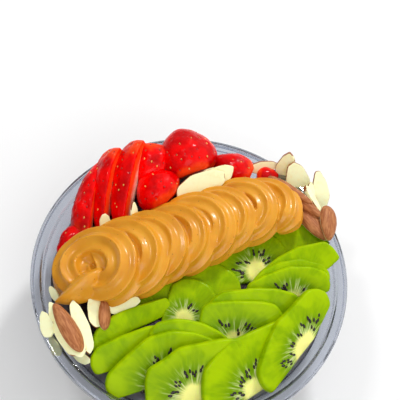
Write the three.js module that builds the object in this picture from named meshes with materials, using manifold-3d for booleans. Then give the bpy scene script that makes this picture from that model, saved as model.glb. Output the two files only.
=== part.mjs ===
// An acai bowl: a clear round takeaway bowl filled with dark acai puree, topped with a piped rope of
// nut butter, half slices of kiwi laid like roof tiles, strawberry wedges and sliced almonds.
// Millimetres, +Z up. The origin is the middle of the bowl's foot, and -Y is the eater's side.

import * as THREE from 'three';
import { mergeVertices } from 'three/addons/utils/BufferGeometryUtils.js';
import Module from 'manifold-3d';

const wasm = await Module();
wasm.setup();

// ---- driving dimensions ----

// The bowl: its lip, its foot ring, the neck where the side wall ends, and the step above it that
// holds a lid.
const RIM_RADIUS = 85;
const BOWL_HEIGHT = 58;
const FOOT_RADIUS = 46;
const FOOT_RING = 3.5;
const FOOT_RECESS = 1.4;
const WALL = 1;
const NECK_RADIUS = 75.5;
const NECK_HEIGHT = 49;
const STEP_RADIUS = 79.9;
const LIP_DROP = 5.4;
const LIP_WALL = 1.2;
const BOWL_SIDES = 32;

// The puree: how high it stands at the wall, and how much higher in the middle.
const FILL_EDGE = 47;
const FILL_MOUND = 4.5;

// The air between two pieces, and the smallest step that a trimmed surface keeps.
const GAP = 0.3;
const FINEST = 0.16;

// How far a kiwi slice's edges are rounded.
const KIWI_EDGE = 0.8;

// The rope of nut butter: its middle line from the right end to the left, the turns of its strand
// and of the thick end that it runs out in, the height of its middle, the tilt of its loops in
// degrees, the loops' and the strand's radius at the right and left end, and the radius of the core
// inside the loops. The points of the tail that it is pulled off to are x, y, z and radius.
const ROPE_MIDDLE = [[39, 41], [28, 40.5], [10, 29.5], [-13, 13.5], [-36, -1.5], [-50, -9.5]];
const ROPE_TURNS = 7.5;
const END_TURNS = 0.36;
const ROPE_HEIGHT = 60;
const ROPE_TILT = 26;
const LOOP_RADIUS = [12.5, 12.5];
const STRAND_RADIUS = [7.8, 11];
const ROPE_CORE = 11.5;
const TAIL = [
  [-42, -9, 61, 2], [-43, -10, 61.3, 2.8], [-47, -14.5, 62.5, 6.2], [-52, -19.5, 62.5, 7.6],
  [-59, -26, 61.2, 5.4], [-66.5, -31.5, 60, 0.8], [-68, -33, 60, 0],
];

const clearPlastic = material('#dfe4ee', 0.1, { transparent: true, opacity: 0.35 });
const acaiPuree = material('#2a1026', 0.45);
const nutButter = material('#d39346', 0.3);
const kiwiFlesh = material('#93c40c', 0.35);
const strawberryRed = material('#d8101a', 0.25);
const almondFlesh = material('#f3e3b4', 0.6);
const almondSkin = material('#9a5a34', 0.6);

function material(color, roughness, more = {}) {
  return new THREE.MeshStandardMaterial({ color, roughness, metalness: 0, ...more });
}

// ---- solids ----

function solidOfMesh(positions, faces) {
  return new wasm.Manifold(new wasm.Mesh({
    numProp: 3,
    vertProperties: new Float32Array(positions),
    triVerts: new Uint32Array(faces),
  }));
}

/** A closed geometry as a solid that can be joined and cut. */
function solidOf(geometry) {
  const plain = geometry.clone();
  plain.deleteAttribute('normal');
  plain.deleteAttribute('uv');
  const merged = mergeVertices(plain, 1e-3);
  return solidOfMesh(merged.attributes.position.array, merged.index.array);
}

/** A solid as a geometry again, without any loose scrap that a cut left, its slivers merged. */
function geometryOf(solid) {
  const pieces = solid.decompose().sort((a, b) => b.volume() - a.volume());
  const mesh = pieces[0].simplify(FINEST).getMesh();
  const geometry = new THREE.BufferGeometry();
  geometry.setAttribute('position', new THREE.BufferAttribute(mesh.vertProperties, 3));
  geometry.setIndex(new THREE.BufferAttribute(mesh.triVerts, 1));
  geometry.computeVertexNormals();
  return geometry;
}

/** Where a piece is: at a point, its length along one direction and its shown face towards another. */
function pose(at, along, facing) {
  const y = new THREE.Vector3(...along).normalize();
  const x = new THREE.Vector3().crossVectors(y, new THREE.Vector3(...facing)).normalize();
  const z = new THREE.Vector3().crossVectors(x, y);
  return new THREE.Matrix4().makeBasis(x, y, z).setPosition(...at);
}

// ---- bowl ----

/** The outside of the rounded side wall from the foot up to the neck, as radius and height. */
function sideWall() {
  const foot = new THREE.Vector2(FOOT_RADIUS + 3, 1.6);
  const belly = new THREE.Vector2(71, 14);
  const neck = new THREE.Vector2(NECK_RADIUS, NECK_HEIGHT);
  return new THREE.QuadraticBezierCurve(foot, belly, neck).getPoints(4).map((p) => [p.x, p.y]);
}

/** The bowl's inside from the neck down to the middle of its floor, drawn in by grow. */
function insideOutline(grow) {
  const wall = sideWall().reverse().map(([r, z]) => [r - WALL - grow, z + 0.6 + grow]);
  const floor = FOOT_RECESS + WALL + grow;
  wall[0][1] = NECK_HEIGHT;
  wall[wall.length - 1][1] = floor + 0.4;
  return [...wall, [0, floor]];
}

/** The closed outline of the floor and the foot ring under it, thicker all round by grow. */
function floorOutline(grow) {
  return [
    [0, FOOT_RECESS - grow],
    [FOOT_RADIUS - FOOT_RING - 1.6, FOOT_RECESS - grow],
    [FOOT_RADIUS - FOOT_RING, -grow],
    [FOOT_RADIUS, -grow],
    [sideWall()[0][0] + grow, sideWall()[0][1]],
    ...insideOutline(grow).slice(-2),
  ];
}

/** The closed outline of the side wall from the floor's edge to the neck, thicker by grow. */
function wallOutline(grow) {
  const outside = sideWall().map(([r, z]) => [r + grow, z]);
  return [...outside, ...insideOutline(grow).slice(0, -1), outside[0]];
}

/**
 * The closed outline of the rim, which stands on the neck: a step that holds a lid, a flat flange
 * and a rolled lip.
 */
function rimOutline(grow) {
  const top = BOWL_HEIGHT + grow;
  return [
    [NECK_RADIUS + grow, NECK_HEIGHT],
    [STEP_RADIUS - 0.5 + grow, NECK_HEIGHT + 1.6 - grow],
    [STEP_RADIUS + grow, BOWL_HEIGHT - 2 - grow],
    [RIM_RADIUS - LIP_WALL - grow, BOWL_HEIGHT - 2 - grow],
    [RIM_RADIUS - LIP_WALL - grow, BOWL_HEIGHT - LIP_DROP - grow],
    [RIM_RADIUS + grow, BOWL_HEIGHT - LIP_DROP - grow],
    [RIM_RADIUS + grow, top - 0.8],
    [RIM_RADIUS - 0.8, top],
    [STEP_RADIUS - WALL + 0.7 - grow, top],
    [STEP_RADIUS - WALL - grow, top - 0.7],
    [STEP_RADIUS - WALL - 0.4 - grow, NECK_HEIGHT + 2.6 + grow],
    [NECK_RADIUS - WALL - grow, NECK_HEIGHT],
    [NECK_RADIUS + grow, NECK_HEIGHT],
  ];
}

/** A closed outline of radius and height, turned round the Z axis. */
function turned(outline, segments) {
  const points = outline.map(([r, z]) => new THREE.Vector2(r, z));
  return new THREE.LatheGeometry(points, segments).rotateX(Math.PI / 2);
}

/** The bowl's parts from the table up, each as the outline that it is turned from. */
const BOWL_PARTS = { bowl_floor: floorOutline, bowl_wall: wallOutline, bowl_rim: rimOutline };

// ---- acai puree ----

/** How far the puree's top stands above its edge: a mound, with the lumps that a scoop leaves. */
function mound(x, y) {
  const share = Math.min(1, Math.hypot(x, y) / 74);
  const lumps = 0.6 * Math.sin(x * 0.11 + 1) * Math.cos(y * 0.1);
  return FILL_MOUND * (1 - share ** 5) + lumps * (1 - share ** 8);
}

/** The puree fills the bowl's inside up to its lumpy top, which the toppings press into. */
function pureeGeometry() {
  const inside = insideOutline(GAP);
  const wall = inside.filter(([, z]) => z < FILL_EDGE - 2).reverse();
  const edge = inside[0][0] - 0.9;
  const topRings = [1, 0.75, 0.4, 0].map((share) => [edge * share, FILL_EDGE]);
  const geometry = turned([...wall, ...topRings], 24);
  const position = geometry.attributes.position;
  for (let i = 0; i < position.count; i += 1) {
    if (Math.abs(position.getZ(i) - FILL_EDGE) < 1e-4) {
      position.setZ(i, FILL_EDGE + mound(position.getX(i), position.getY(i)));
    }
  }
  return geometry;
}

// ---- kiwi ----

/** A slice of those corners, thick along Z: its cut edge runs along X, its peeled arc stands to +Y. */
function kiwiGeometry({ corners, thick }, grow = 0) {
  const shape = new THREE.Shape(corners.map(([x, y]) => new THREE.Vector2(x, y)));
  const geometry = new THREE.ExtrudeGeometry(shape, {
    depth: thick + 2 * grow - 2 * KIWI_EDGE,
    bevelThickness: KIWI_EDGE,
    bevelSize: KIWI_EDGE,
    bevelOffset: grow - KIWI_EDGE,
    bevelSegments: 1,
    curveSegments: 1,
  });
  return geometry.translate(0, 0, KIWI_EDGE - grow);
}

// Each slice: the middle of its cut edge, the way to its arc, the way its face looks, its thickness,
// and the corners that the knife left round it. The first lies on top.
const KIWI_SLICES = [
  [[61.2, -33.2, 52.9], [-0.79, 0.37, 0.5], [0.42, -0.28, 0.86], 4.8,
    [[29.6, 0.1], [32.9, 5.9], [30.4, 12], [25.9, 15.7], [7.5, 18.3], [1.6, 19.8], [-11.9, 17.3],
    [-25.9, 12.8], [-29.4, 6.2], [-29.6, 0], [9.2, -3]]],
  [[36.4, -63.6, 48.9], [-0.58, 0.67, 0.45], [0.33, -0.31, 0.89], 4.6,
    [[24.8, 0.1], [33.7, 9.5], [38.8, 20.7], [35.3, 26.1], [19, 28.4], [7.3, 29.9], [-6.2, 26.9],
    [-13.4, 23.8], [-18.3, 16.1], [-24.9, 0.1]]],
  [[10.7, -68.5, 48.7], [-0.35, 0.79, 0.5], [0.2, -0.46, 0.87], 5,
    [[24, 0], [29.7, 8.9], [32, 19.7], [30.1, 25.8], [20.5, 28], [-1.1, 29], [-10.7, 24.8],
    [-18.9, 22.4], [-21.5, 17], [-24.1, 0]]],
  [[-4.4, -60.1, 48.2], [-0.39, 0.77, 0.5], [0.23, -0.45, 0.87], 5,
    [[29.6, -0.1], [33.8, 7.2], [30, 13.6], [20.5, 20.5], [9.3, 24.7], [-3.4, 24.9], [-18.8, 17.7],
    [-27.8, 12.8], [-30, 8.3], [-29.6, 0]]],
  [[5.6, -48.9, 48.7], [-0.19, 0.84, 0.5], [0.11, -0.49, 0.87], 4.4,
    [[24.6, 0], [26.4, 7.1], [17.9, 15.3], [9.3, 20.4], [1.7, 22.8], [-6.4, 23.8], [-15.1, 22.3],
    [-18.8, 18.4], [-24.6, 0]]],
  [[-18.2, -51, 48.4], [-0.39, 0.78, 0.5], [0.23, -0.44, 0.87], 4.4,
    [[24.4, 0], [26.4, 7.5], [19.5, 14.8], [6.5, 16.5], [-8, 15.5], [-20.5, 13.4], [-24.9, 9.5],
    [-25.9, 4.6], [-24.5, 0]]],
  [[-26.2, -36.6, 49.2], [-0.52, 0.69, 0.5], [0.3, -0.4, 0.87], 4.4,
    [[23.8, 0], [24.7, 4.8], [24.1, 8.6], [9.7, 10.9], [-0.8, 12.2], [-7.8, 11.9], [-16.3, 9.3],
    [-20.9, 5.3], [-23.8, 0]]],
  [[31.9, -32.3, 50.1], [-0.2, 0.82, 0.53], [0.12, -0.52, 0.85], 4.6,
    [[24.3, 0], [23.6, 9.5], [18.7, 17.8], [10.9, 19.9], [-2.8, 21.1], [-16.3, 21.3], [-20.6, 19],
    [-22.2, 12.9], [-24.2, 0]]],
  [[36.6, -23.1, 50.4], [-0.22, 0.82, 0.53], [0.14, -0.51, 0.85], 4.2,
    [[26.5, 0], [27.6, 7.9], [24.3, 14.6], [14.2, 18.2], [2, 19.7], [-15.6, 19.2], [-21.7, 15.3],
    [-25.4, 7.8], [-26.5, 0]]],
  [[53.1, -5.8, 50.9], [-0.31, 0.82, 0.48], [0.14, -0.47, 0.87], 4.4,
    [[23.7, 0], [25.2, 4.1], [23.9, 10.9], [16.6, 14.9], [4.2, 17.4], [-10.7, 14.9], [-19.4, 12.1],
    [-22.6, 6.2], [-23.7, 0]]],
  [[54.9, -0.1, 51.9], [-0.34, 0.83, 0.44], [0.1, -0.43, 0.9], 4,
    [[22.1, 0.1], [22.6, 4.9], [20.3, 9.8], [7.9, 15.4], [-3.2, 15.8], [-13.8, 13.5], [-20.4, 8.4],
    [-22.1, 0.1]]],
  [[55.6, 5.4, 52.9], [-0.42, 0.83, 0.37], [0.01, -0.4, 0.92], 4.2,
    [[20.1, 0], [28.3, 4.1], [25.9, 11], [22.6, 15.1], [7.5, 16.3], [-4.6, 13.9], [-14.9, 9.6],
    [-18.9, 5.8], [-20.1, 0]]],
  [[60, 21.3, 49.5], [-0.34, 0.92, 0.22], [-0.05, -0.25, 0.97], 4.4,
    [[17, 0], [17.2, 5.2], [11, 12.9], [2.2, 19.4], [-7.8, 20.8], [-14.5, 16.3], [-17.3, 9.3],
    [-17.1, 0]]],
  [[4, -28.3, 48.6], [-0.43, 0.89, 0.17], [0.06, -0.17, 0.98], 4.4,
    [[17.3, 0], [18, 9.3], [16.4, 16.6], [11.3, 22], [3.9, 25.2], [-3.4, 23.3], [-7.3, 17.6],
    [-9.3, 12.6], [-12.4, 9.6], [-17.3, 0]]],
  [[10.9, -13.2, 48.3], [-0.4, 0.91, 0.14], [0.04, -0.14, 0.99], 4.6,
    [[19.5, 0], [20.1, 6.2], [18.2, 11.3], [9.4, 20.4], [-0.4, 21.6], [-10.6, 17.1], [-17.8, 8.6],
    [-19.5, 0]]],
  [[35.4, 1.6, 47.7], [-0.29, 0.94, 0.16], [0.06, -0.15, 0.99], 4.6,
    [[23.5, 0], [22.4, 12.2], [18.2, 22.7], [10.2, 29.5], [-0.9, 31.3], [-11.4, 26.6], [-20.2, 13.7],
    [-23.5, 0]]],
  [[-13.2, -20.9, 48.8], [-0.5, 0.85, 0.17], [0.08, -0.15, 0.98], 4.2,
    [[15.6, 0], [17.5, 7.5], [13.8, 13], [4.9, 13.8], [-4.3, 10.7], [-11, 6.3], [-15.6, 0]]],
];

function kiwiPieces() {
  return KIWI_SLICES.map(([at, along, facing, thick, corners], i) => ({
    name: `kiwi_slice_${i + 1}`,
    material: kiwiFlesh,
    matrix: pose(at, along, facing),
    solid: (grow) => solidOf(kiwiGeometry({ corners, thick }, grow)),
  }));
}

// ---- strawberries ----

/** A berry round Y from its stem end at 0 to its tip, cut flat at the crown and to a wedge about +Z. */
function strawberrySolid({ long, wide, wedge, floor, crown }, grow = 0) {
  const outline = [];
  const steps = 8;
  for (let i = 0; i <= steps; i += 1) {
    const u = (1 - Math.cos((Math.PI * i) / steps)) / 2;
    const bulge = Math.sin(Math.PI * u ** 0.72) ** 0.56;
    const radius = Math.max(0, bulge) * (wide / 2 + grow);
    outline.push(new THREE.Vector2(radius, u * (long + 2 * grow) - grow));
  }
  outline[0].x = 0;
  outline[steps].x = 0;
  const berry = solidOf(new THREE.LatheGeometry(outline, 12));
  const half = THREE.MathUtils.degToRad(wedge);
  return berry
    .trimByPlane([0, 1, 0], crown - grow)
    .trimByPlane([-Math.cos(half), 0, Math.sin(half)], floor - grow)
    .trimByPlane([Math.cos(half), 0, Math.sin(half)], floor - grow);
}

// Each piece: the core line's stem end, the way to the tip, the way its skin faces, its length and
// width, half the angle that it takes of the berry, how far its cuts stay off the core, and how much
// was cut off with the leaves.
const STRAWBERRIES = [
  [[-17.2, 39.1, 57], [-0.82, 0.53, 0.23], [-0.5, 0.1, 0.9], 22, 28, 88, 0, 1],
  [[-5.4, 57.3, 56], [-0.48, 0.78, 0.39], [-0.15, -0.45, 0.9], 31, 35, 88, -2, 3],
  [[-34, 74.4, 64], [-0.08, -0.97, -0.21], [-0.9, -0.05, 0.36], 62, 33, 54, 0, 5],
  [[-46.5, 69.2, 61], [-0.06, -0.98, -0.21], [-0.93, -0.05, 0.34], 57, 31, 54, 0, 5],
  [[-56.9, 8.2, 48], [-0.05, 0.97, 0.23], [-0.9, -0.05, 0.42], 51, 26, 62, 0, 0],
  [[26.9, 64.5, 57], [-0.97, 0.23, 0.12], [0, -0.2, 1], 25, 19, 88, -4, 1],
  [[29.6, 65, 57], [0.97, 0.23, 0], [0, -0.3, 1], 13, 11, 88, -2, 0],
  [[-59.8, 17.3, 49], [-0.62, -0.78, 0.05], [-0.4, 0.3, 0.9], 21, 17, 88, 0, 0],
  [[-30.5, 74.6, 62], [0.01, -0.97, -0.24], [0.1, -0.3, 0.95], 34, 26, 88, -3, 4],
];

function strawberryPieces() {
  return STRAWBERRIES.map(([at, along, facing, long, wide, wedge, floor, crown], i) => ({
    name: `strawberry_piece_${i + 1}`,
    material: strawberryRed,
    matrix: pose(at, along, facing),
    solid: (grow) => strawberrySolid({ long, wide, wedge, floor, crown }, grow),
  }));
}

// ---- almonds ----

/** A flat almond slice in the XY plane, blunt at -Y and pointed at +Y. */
function almondGeometry({ long, wide, thick }, grow = 0) {
  const corners = 10;
  const outline = [];
  for (let i = 0; i < corners; i += 1) {
    const turn = (2 * Math.PI * i) / corners;
    const taper = 1 - 0.24 * Math.sin(turn);
    const x = (wide / 2 + grow) * Math.cos(turn) * taper;
    outline.push(new THREE.Vector2(x, (long / 2 + grow) * Math.sin(turn)));
  }
  const shape = new THREE.Shape(outline);
  const geometry = new THREE.ExtrudeGeometry(shape, { depth: thick + 2 * grow, bevelEnabled: false });
  return geometry.translate(0, 0, -thick / 2 - grow);
}

/** An outer cut of an almond: one flat side, and the domed brown skin on the other. */
function almondCapSolid({ long, wide, thick }, grow = 0) {
  const nut = new THREE.SphereGeometry(1, 12, 8);
  nut.scale(wide / 2 + grow, long / 2 + grow, thick + grow);
  return solidOf(nut).trimByPlane([0, 0, 1], -grow);
}

// Each slice: its middle, the way to its point, the way its face looks, its length, width and
// thickness.
const ALMOND_SLICES = [
  [[-1.1, 48.1, 65.5], [0.81, 0.54, 0.24], [0.1, -0.6, 0.8], 30, 15.5, 1.6],
  [[5, 53.8, 64.5], [0.76, 0.59, 0.27], [0.1, -0.6, 0.8], 26, 14.5, 1.6],
  [[45.7, 71.6, 62], [-0.03, 0.49, 0.87], [-0.1, -0.7, 0.7], 18, 11.5, 2.2],
  [[52.9, 65.5, 60], [-0.45, 0.62, 0.64], [0.15, -0.7, 0.7], 22, 13, 2.0],
  [[66.3, 60.8, 60], [-0.26, 0.8, 0.55], [0.2, -0.6, 0.75], 22, 9.5, 2.0],
  [[62.4, 51, 63], [0.55, -0.83, -0.1], [0.5, 0.3, 0.8], 20, 5, 2.2],
  [[33, 70.7, 60], [0.95, 0.33, 0], [0, -0.8, 0.6], 18, 7, 2.0],
  [[-68, -44, 60.5], [-0.46, 0.89, 0.07], [-0.2, -0.3, 0.9], 14, 7, 1.8],
  [[-57.8, -45.7, 61], [-0.66, 0.75, 0.06], [0.1, -0.3, 0.95], 33, 11, 1.8],
  [[-50.9, -41.9, 60.5], [-0.5, 0.86, 0.1], [0.25, -0.2, 0.95], 29, 8, 1.8],
  [[-45.5, -31.5, 58.5], [-0.37, 0.92, 0.15], [0.15, -0.3, 0.95], 19, 8.5, 1.8],
  [[-31.6, -25.7, 58], [0.88, 0.47, 0], [0.1, -0.5, 0.85], 17, 9, 1.8],
  [[-69, -24.8, 55.5], [-0.62, 0.78, 0.11], [-0.3, -0.3, 0.9], 9, 4, 1.5],
  [[-62, -53.1, 56.5], [-0.61, 0.79, 0.09], [-0.3, -0.3, 0.9], 12, 4.5, 1.5],
  [[-48.7, -55.9, 54.5], [-0.92, 0.39, 0.08], [-0.1, -0.5, 0.85], 12, 5, 1.5],
  [[-50.3, 19, 61], [-0.13, 0.76, 0.64], [0.3, -0.5, 0.8], 9, 6, 1.5],
  [[-35.4, 25.4, 65], [-0.15, 0.82, 0.55], [0.75, -0.4, 0.5], 11, 5, 1.3],
  [[60.8, 58, 62], [-0.24, 0.89, 0.39], [0.3, -0.5, 0.8], 10, 4.5, 1.6],
];

// Each cap: the middle of its flat side, then as for a slice.
const ALMOND_CAPS = [
  [[-57, -44.9, 62.8], [-0.64, 0.76, 0.09], [0.45, 0.15, 0.9], 29, 10, 4.2],
  [[-40.7, -33.2, 59], [-0.19, 0.98, 0.12], [0.6, -0.2, 0.8], 17, 7, 3],
  [[48.6, 54.4, 65], [0.87, -0.48, 0.07], [-0.3, -0.5, 0.8], 30, 6, 3],
  [[60.1, 46, 63.5], [0.78, -0.61, 0.16], [-0.3, -0.4, 0.85], 19, 6, 2.6],
  [[63.5, 38, 60], [0.63, -0.78, 0.08], [0, 0.1, 0.95], 25, 11, 4],
  [[71.1, 38, 63], [0.07, -1, 0], [0.5, 0, 0.85], 22, 11, 4.5],
];

function almondPieces() {
  const slices = ALMOND_SLICES.map(([at, along, facing, long, wide, thick], i) => ({
    name: `almond_slice_${i + 1}`,
    material: almondFlesh,
    matrix: pose(at, along, facing),
    solid: (grow) => solidOf(almondGeometry({ long, wide, thick }, grow)),
  }));
  const caps = ALMOND_CAPS.map(([at, along, facing, long, wide, thick], i) => ({
    name: `almond_cap_${i + 1}`,
    material: almondSkin,
    matrix: pose(at, along, facing),
    solid: (grow) => almondCapSolid({ long, wide, thick }, grow),
  }));
  return [...caps, ...slices];
}

// ---- nut butter ----

/**
 * A strand swept along points of [x, y, z, radius], closed at both ends. The first and the last
 * point only give its direction.
 */
function strandSolid(points, grow, sides = 6) {
  const guides = points.map(([x, y, z]) => new THREE.Vector3(x, y, z));
  const rings = points.length - 2;
  const positions = [];
  for (let i = 1; i <= rings; i += 1) {
    const ahead = guides[i + 1].clone().sub(guides[i - 1]).normalize();
    const side = new THREE.Vector3(ahead.y, -ahead.x, 0).normalize();
    const top = new THREE.Vector3().crossVectors(side, ahead);
    const end = (i === rings ? grow : 0) - (i === 1 ? grow : 0);
    const middle = guides[i].clone().addScaledVector(ahead, end);
    positions.push(middle);
    for (let k = 0; k < sides; k += 1) {
      const turn = (2 * Math.PI * k) / sides;
      const spoke = side.clone().multiplyScalar(Math.cos(turn)).addScaledVector(top, Math.sin(turn));
      positions.push(middle.clone().addScaledVector(spoke, points[i][3] + grow));
    }
  }
  const corner = (ring, k) => ring * (sides + 1) + 1 + (k % sides);
  const faces = [];
  for (let k = 0; k < sides; k += 1) {
    for (let i = 0; i + 1 < rings; i += 1) {
      faces.push(corner(i, k), corner(i + 1, k + 1), corner(i, k + 1));
      faces.push(corner(i, k), corner(i + 1, k), corner(i + 1, k + 1));
    }
    faces.push(0, corner(0, k), corner(0, k + 1));
    faces.push((rings - 1) * (sides + 1), corner(rings - 1, k + 1), corner(rings - 1, k));
  }
  return solidOfMesh(positions.flatMap((v) => v.toArray()), faces);
}

const middleLine = new THREE.CatmullRomCurve3(ROPE_MIDDLE.map(([x, y]) => new THREE.Vector3(x, y, 0)));

/** The strand's middle and radius after so many turns, from a round start at the right end. */
function strandAt(turns) {
  const share = THREE.MathUtils.clamp(turns / ROPE_TURNS, 0, 1);
  const middle = middleLine.getPointAt(share);
  const right = middleLine.getTangentAt(share).negate();
  const end = Math.max(0, turns - ROPE_TURNS) / END_TURNS;
  const tilt = THREE.MathUtils.degToRad(ROPE_TILT);
  const turn = 2 * Math.PI * (turns - 0.2);
  // Each loop stands highest at its front right, where it laps over the one before.
  const rise = Math.cos(turn + 0.3);
  const radius = THREE.MathUtils.lerp(...LOOP_RADIUS, share) * (1 + 0.06 * Math.sin(turns * 2.3));
  const ends = Math.min(1, 0.4 + 5 * Math.max(0, turns)) * (1 + 0.6 * end - 1.3 * end ** 3);
  const strand = THREE.MathUtils.lerp(...STRAND_RADIUS, share) * ends * (1 + 0.08 * rise);
  const out = radius * Math.cos(turn) * Math.cos(tilt);
  const back = radius * Math.sin(turn);
  return [
    middle.x + right.x * out - right.y * back,
    middle.y + right.y * out + right.x * back,
    ROPE_HEIGHT + radius * rise * Math.sin(tilt),
    strand,
  ];
}

/**
 * The piped rope: one strand laid in tilted loops, each over the last, that ends thick and round at
 * the left and leaves a pulled tail. A core closes the loops' middles.
 */
function ropeSolid(grow = 0) {
  const parts = [];
  const pieces = 16;
  const steps = 5;
  for (let piece = 0; piece < pieces; piece += 1) {
    const points = [];
    for (let i = -1; i <= steps + 1; i += 1) {
      points.push(strandAt(((piece + i / steps) / pieces) * (ROPE_TURNS + END_TURNS)));
    }
    parts.push(strandSolid(points, grow));
  }
  const core = ROPE_MIDDLE.map(([x, y]) => [x, y, ROPE_HEIGHT - 2, ROPE_CORE]);
  parts.push(strandSolid(core, grow, 8));
  parts.push(strandSolid(TAIL, grow));
  return wasm.Manifold.union(parts).simplify(0.3);
}

// ---- putting the bowl together ----

/** Cuts a solid clear of those of the others that it reaches. */
function clearOf(solid, others) {
  const box = solid.boundingBox();
  const near = others.filter((other) => {
    const o = other.boundingBox();
    return [0, 1, 2].every((k) => o.min[k] < box.max[k] && o.max[k] > box.min[k]);
  });
  return near.length ? solid.subtract(wasm.Manifold.union(near)) : solid;
}

function namedMesh(name, geometry, look) {
  const mesh = new THREE.Mesh(geometry, look);
  mesh.name = name;
  return mesh;
}

/** A rigid piece, cut in its own frame clear of the pieces already there. */
function trimmedMesh(piece, others) {
  const whole = piece.solid(0).transform(piece.matrix.elements);
  const trimmed = clearOf(whole, others).transform(piece.matrix.clone().invert().elements);
  const mesh = namedMesh(piece.name, geometryOf(trimmed), piece.material);
  mesh.applyMatrix4(piece.matrix);
  return mesh;
}

const group = new THREE.Group();
const placed = [];
for (const [name, outline] of Object.entries(BOWL_PARTS)) {
  group.add(namedMesh(name, turned(outline(0), BOWL_SIDES), clearPlastic));
  placed.push(solidOf(turned(outline(GAP), BOWL_SIDES)));
}

// The rigid pieces are trimmed in this order, each by those before it.
for (const piece of [...kiwiPieces(), ...strawberryPieces(), ...almondPieces()]) {
  group.add(trimmedMesh(piece, placed));
  placed.push(piece.solid(GAP).transform(piece.matrix.elements));
}

// The soft butter takes the shape of what it lies on, and the puree that of all that sinks into it.
group.add(namedMesh('nut_butter', geometryOf(clearOf(ropeSolid(), placed)), nutButter));
placed.push(ropeSolid(3 * GAP));
group.add(namedMesh('acai_puree', geometryOf(clearOf(solidOf(pureeGeometry()), placed)), acaiPuree));

export default group;
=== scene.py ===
"""The looks of an acai bowl: a clear bowl of dark puree under fruit, almonds and nut butter.

Each operator builds one piece, or a group of like pieces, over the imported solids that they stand
for. Shapes are worked out in millimetres, with +Z up, the middle of the bowl's foot at the origin
and the eater at -Y, and turned to metres when a mesh is made.
"""

import math

import bpy
import numpy as np
from bpy.props import FloatProperty, FloatVectorProperty, IntProperty, PointerProperty
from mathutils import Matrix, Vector, noise
from mathutils.kdtree import KDTree


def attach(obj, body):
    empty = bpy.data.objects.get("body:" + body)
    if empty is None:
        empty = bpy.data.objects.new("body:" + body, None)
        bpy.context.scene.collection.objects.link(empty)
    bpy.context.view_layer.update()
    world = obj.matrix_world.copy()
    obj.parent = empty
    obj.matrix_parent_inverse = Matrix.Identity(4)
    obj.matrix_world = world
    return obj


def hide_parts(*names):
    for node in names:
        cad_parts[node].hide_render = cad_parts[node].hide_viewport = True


bl_info = {
    "name": "Acai Bowl",
    "version": (1, 0, 0),
    "blender": (4, 5, 0),
    "location": "3D View > Sidebar > Acai Bowl",
    "description": "Builds a clear bowl of acai puree with kiwi, strawberries, almonds and nut butter",
    "category": "Object",
}

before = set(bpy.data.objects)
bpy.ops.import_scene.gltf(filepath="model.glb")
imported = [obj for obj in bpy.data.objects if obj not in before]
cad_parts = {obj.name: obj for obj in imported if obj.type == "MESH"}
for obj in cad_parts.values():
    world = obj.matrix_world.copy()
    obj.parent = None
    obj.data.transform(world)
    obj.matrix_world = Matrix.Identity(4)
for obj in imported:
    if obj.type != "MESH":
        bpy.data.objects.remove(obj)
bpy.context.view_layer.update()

MM = 0.001


def linear(hex_colour):
    """An sRGB hex colour as linear red, green and blue."""
    parts = [int(hex_colour[i : i + 2], 16) / 255 for i in (1, 3, 5)]
    return [c / 12.92 if c <= 0.04045 else ((c + 0.055) / 1.055) ** 2.4 for c in parts]


def colour_property(name, description, hex_colour):
    """A colour that the user can change."""
    return FloatVectorProperty(
        name=name, description=description, subtype="COLOR", size=3, min=0, max=1,
        default=linear(hex_colour),
    )


def length_property(name, description, millimetres):
    """A length that the user can change."""
    return FloatProperty(
        name=name, description=description, unit="LENGTH", default=millimetres * MM, min=0
    )


# ---- settings ----


class BowlSettings(bpy.types.PropertyGroup):
    """The clear bowl."""

    rim_radius: length_property("Rim radius", "Outer radius of the lip", 85)
    height: length_property("Height", "From the table to the top of the rim", 58)
    wall: length_property("Wall", "Thickness of the plastic", 1)
    tint: colour_property("Tint", "Colour of the clear plastic", "#C5CAD5")


class PureeSettings(bpy.types.PropertyGroup):
    """The frozen acai puree."""

    fill: length_property("Fill height", "Height of the puree at the wall", 47)
    mound: length_property("Mound", "How much higher the middle stands", 4.5)
    dark: colour_property("Puree", "Colour of the thawed puree", "#24101F")
    frost: colour_property("Frost", "Colour of the puree where it is still icy", "#57435C")


class KiwiSettings(bpy.types.PropertyGroup):
    """The kiwi slices and their seeds."""

    outer: colour_property("Outer flesh", "Colour near the peel", "#A4C400")
    inner: colour_property("Inner flesh", "Colour round the seeds", "#6E9600")
    ray: colour_property("Rays", "Colour of the pale rays from the core", "#DDE3A6")
    core: colour_property("Core", "Colour of the core", "#FFFD96")
    seed: colour_property("Seeds", "Colour of the seeds", "#120D0A")


class StrawberrySettings(bpy.types.PropertyGroup):
    """The strawberry pieces and their pips."""

    skin: colour_property("Skin", "Colour of the ripe skin", "#FA0000")
    flesh: colour_property("Flesh", "Colour of the flesh under the skin", "#FF4A16")
    heart: colour_property("Heart", "Colour of the middle of a berry", "#F9CDB4")
    pip: colour_property("Pips", "Colour of the pips", "#EBB65A")


class AlmondSettings(bpy.types.PropertyGroup):
    """The sliced almonds."""

    flesh: colour_property("Flesh", "Colour of a cut almond", "#FFFFCC")
    skin: colour_property("Skin", "Colour of the skin", "#9F5A2C")


class ButterSettings(bpy.types.PropertyGroup):
    """The piped nut butter."""

    turns: FloatProperty(name="Turns", description="Loops in the rope", default=7.5, min=1)
    tilt: FloatProperty(
        name="Tilt", description="How far each loop leans", subtype="ANGLE",
        default=math.radians(26),
    )
    flutes: IntProperty(name="Flutes", description="Ridges round the strand", default=10, min=3)
    body: colour_property("Butter", "Colour of the nut butter", "#E29E28")
    shade: colour_property("Oil", "Colour where the oil gathers", "#D68E1A")


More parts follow.
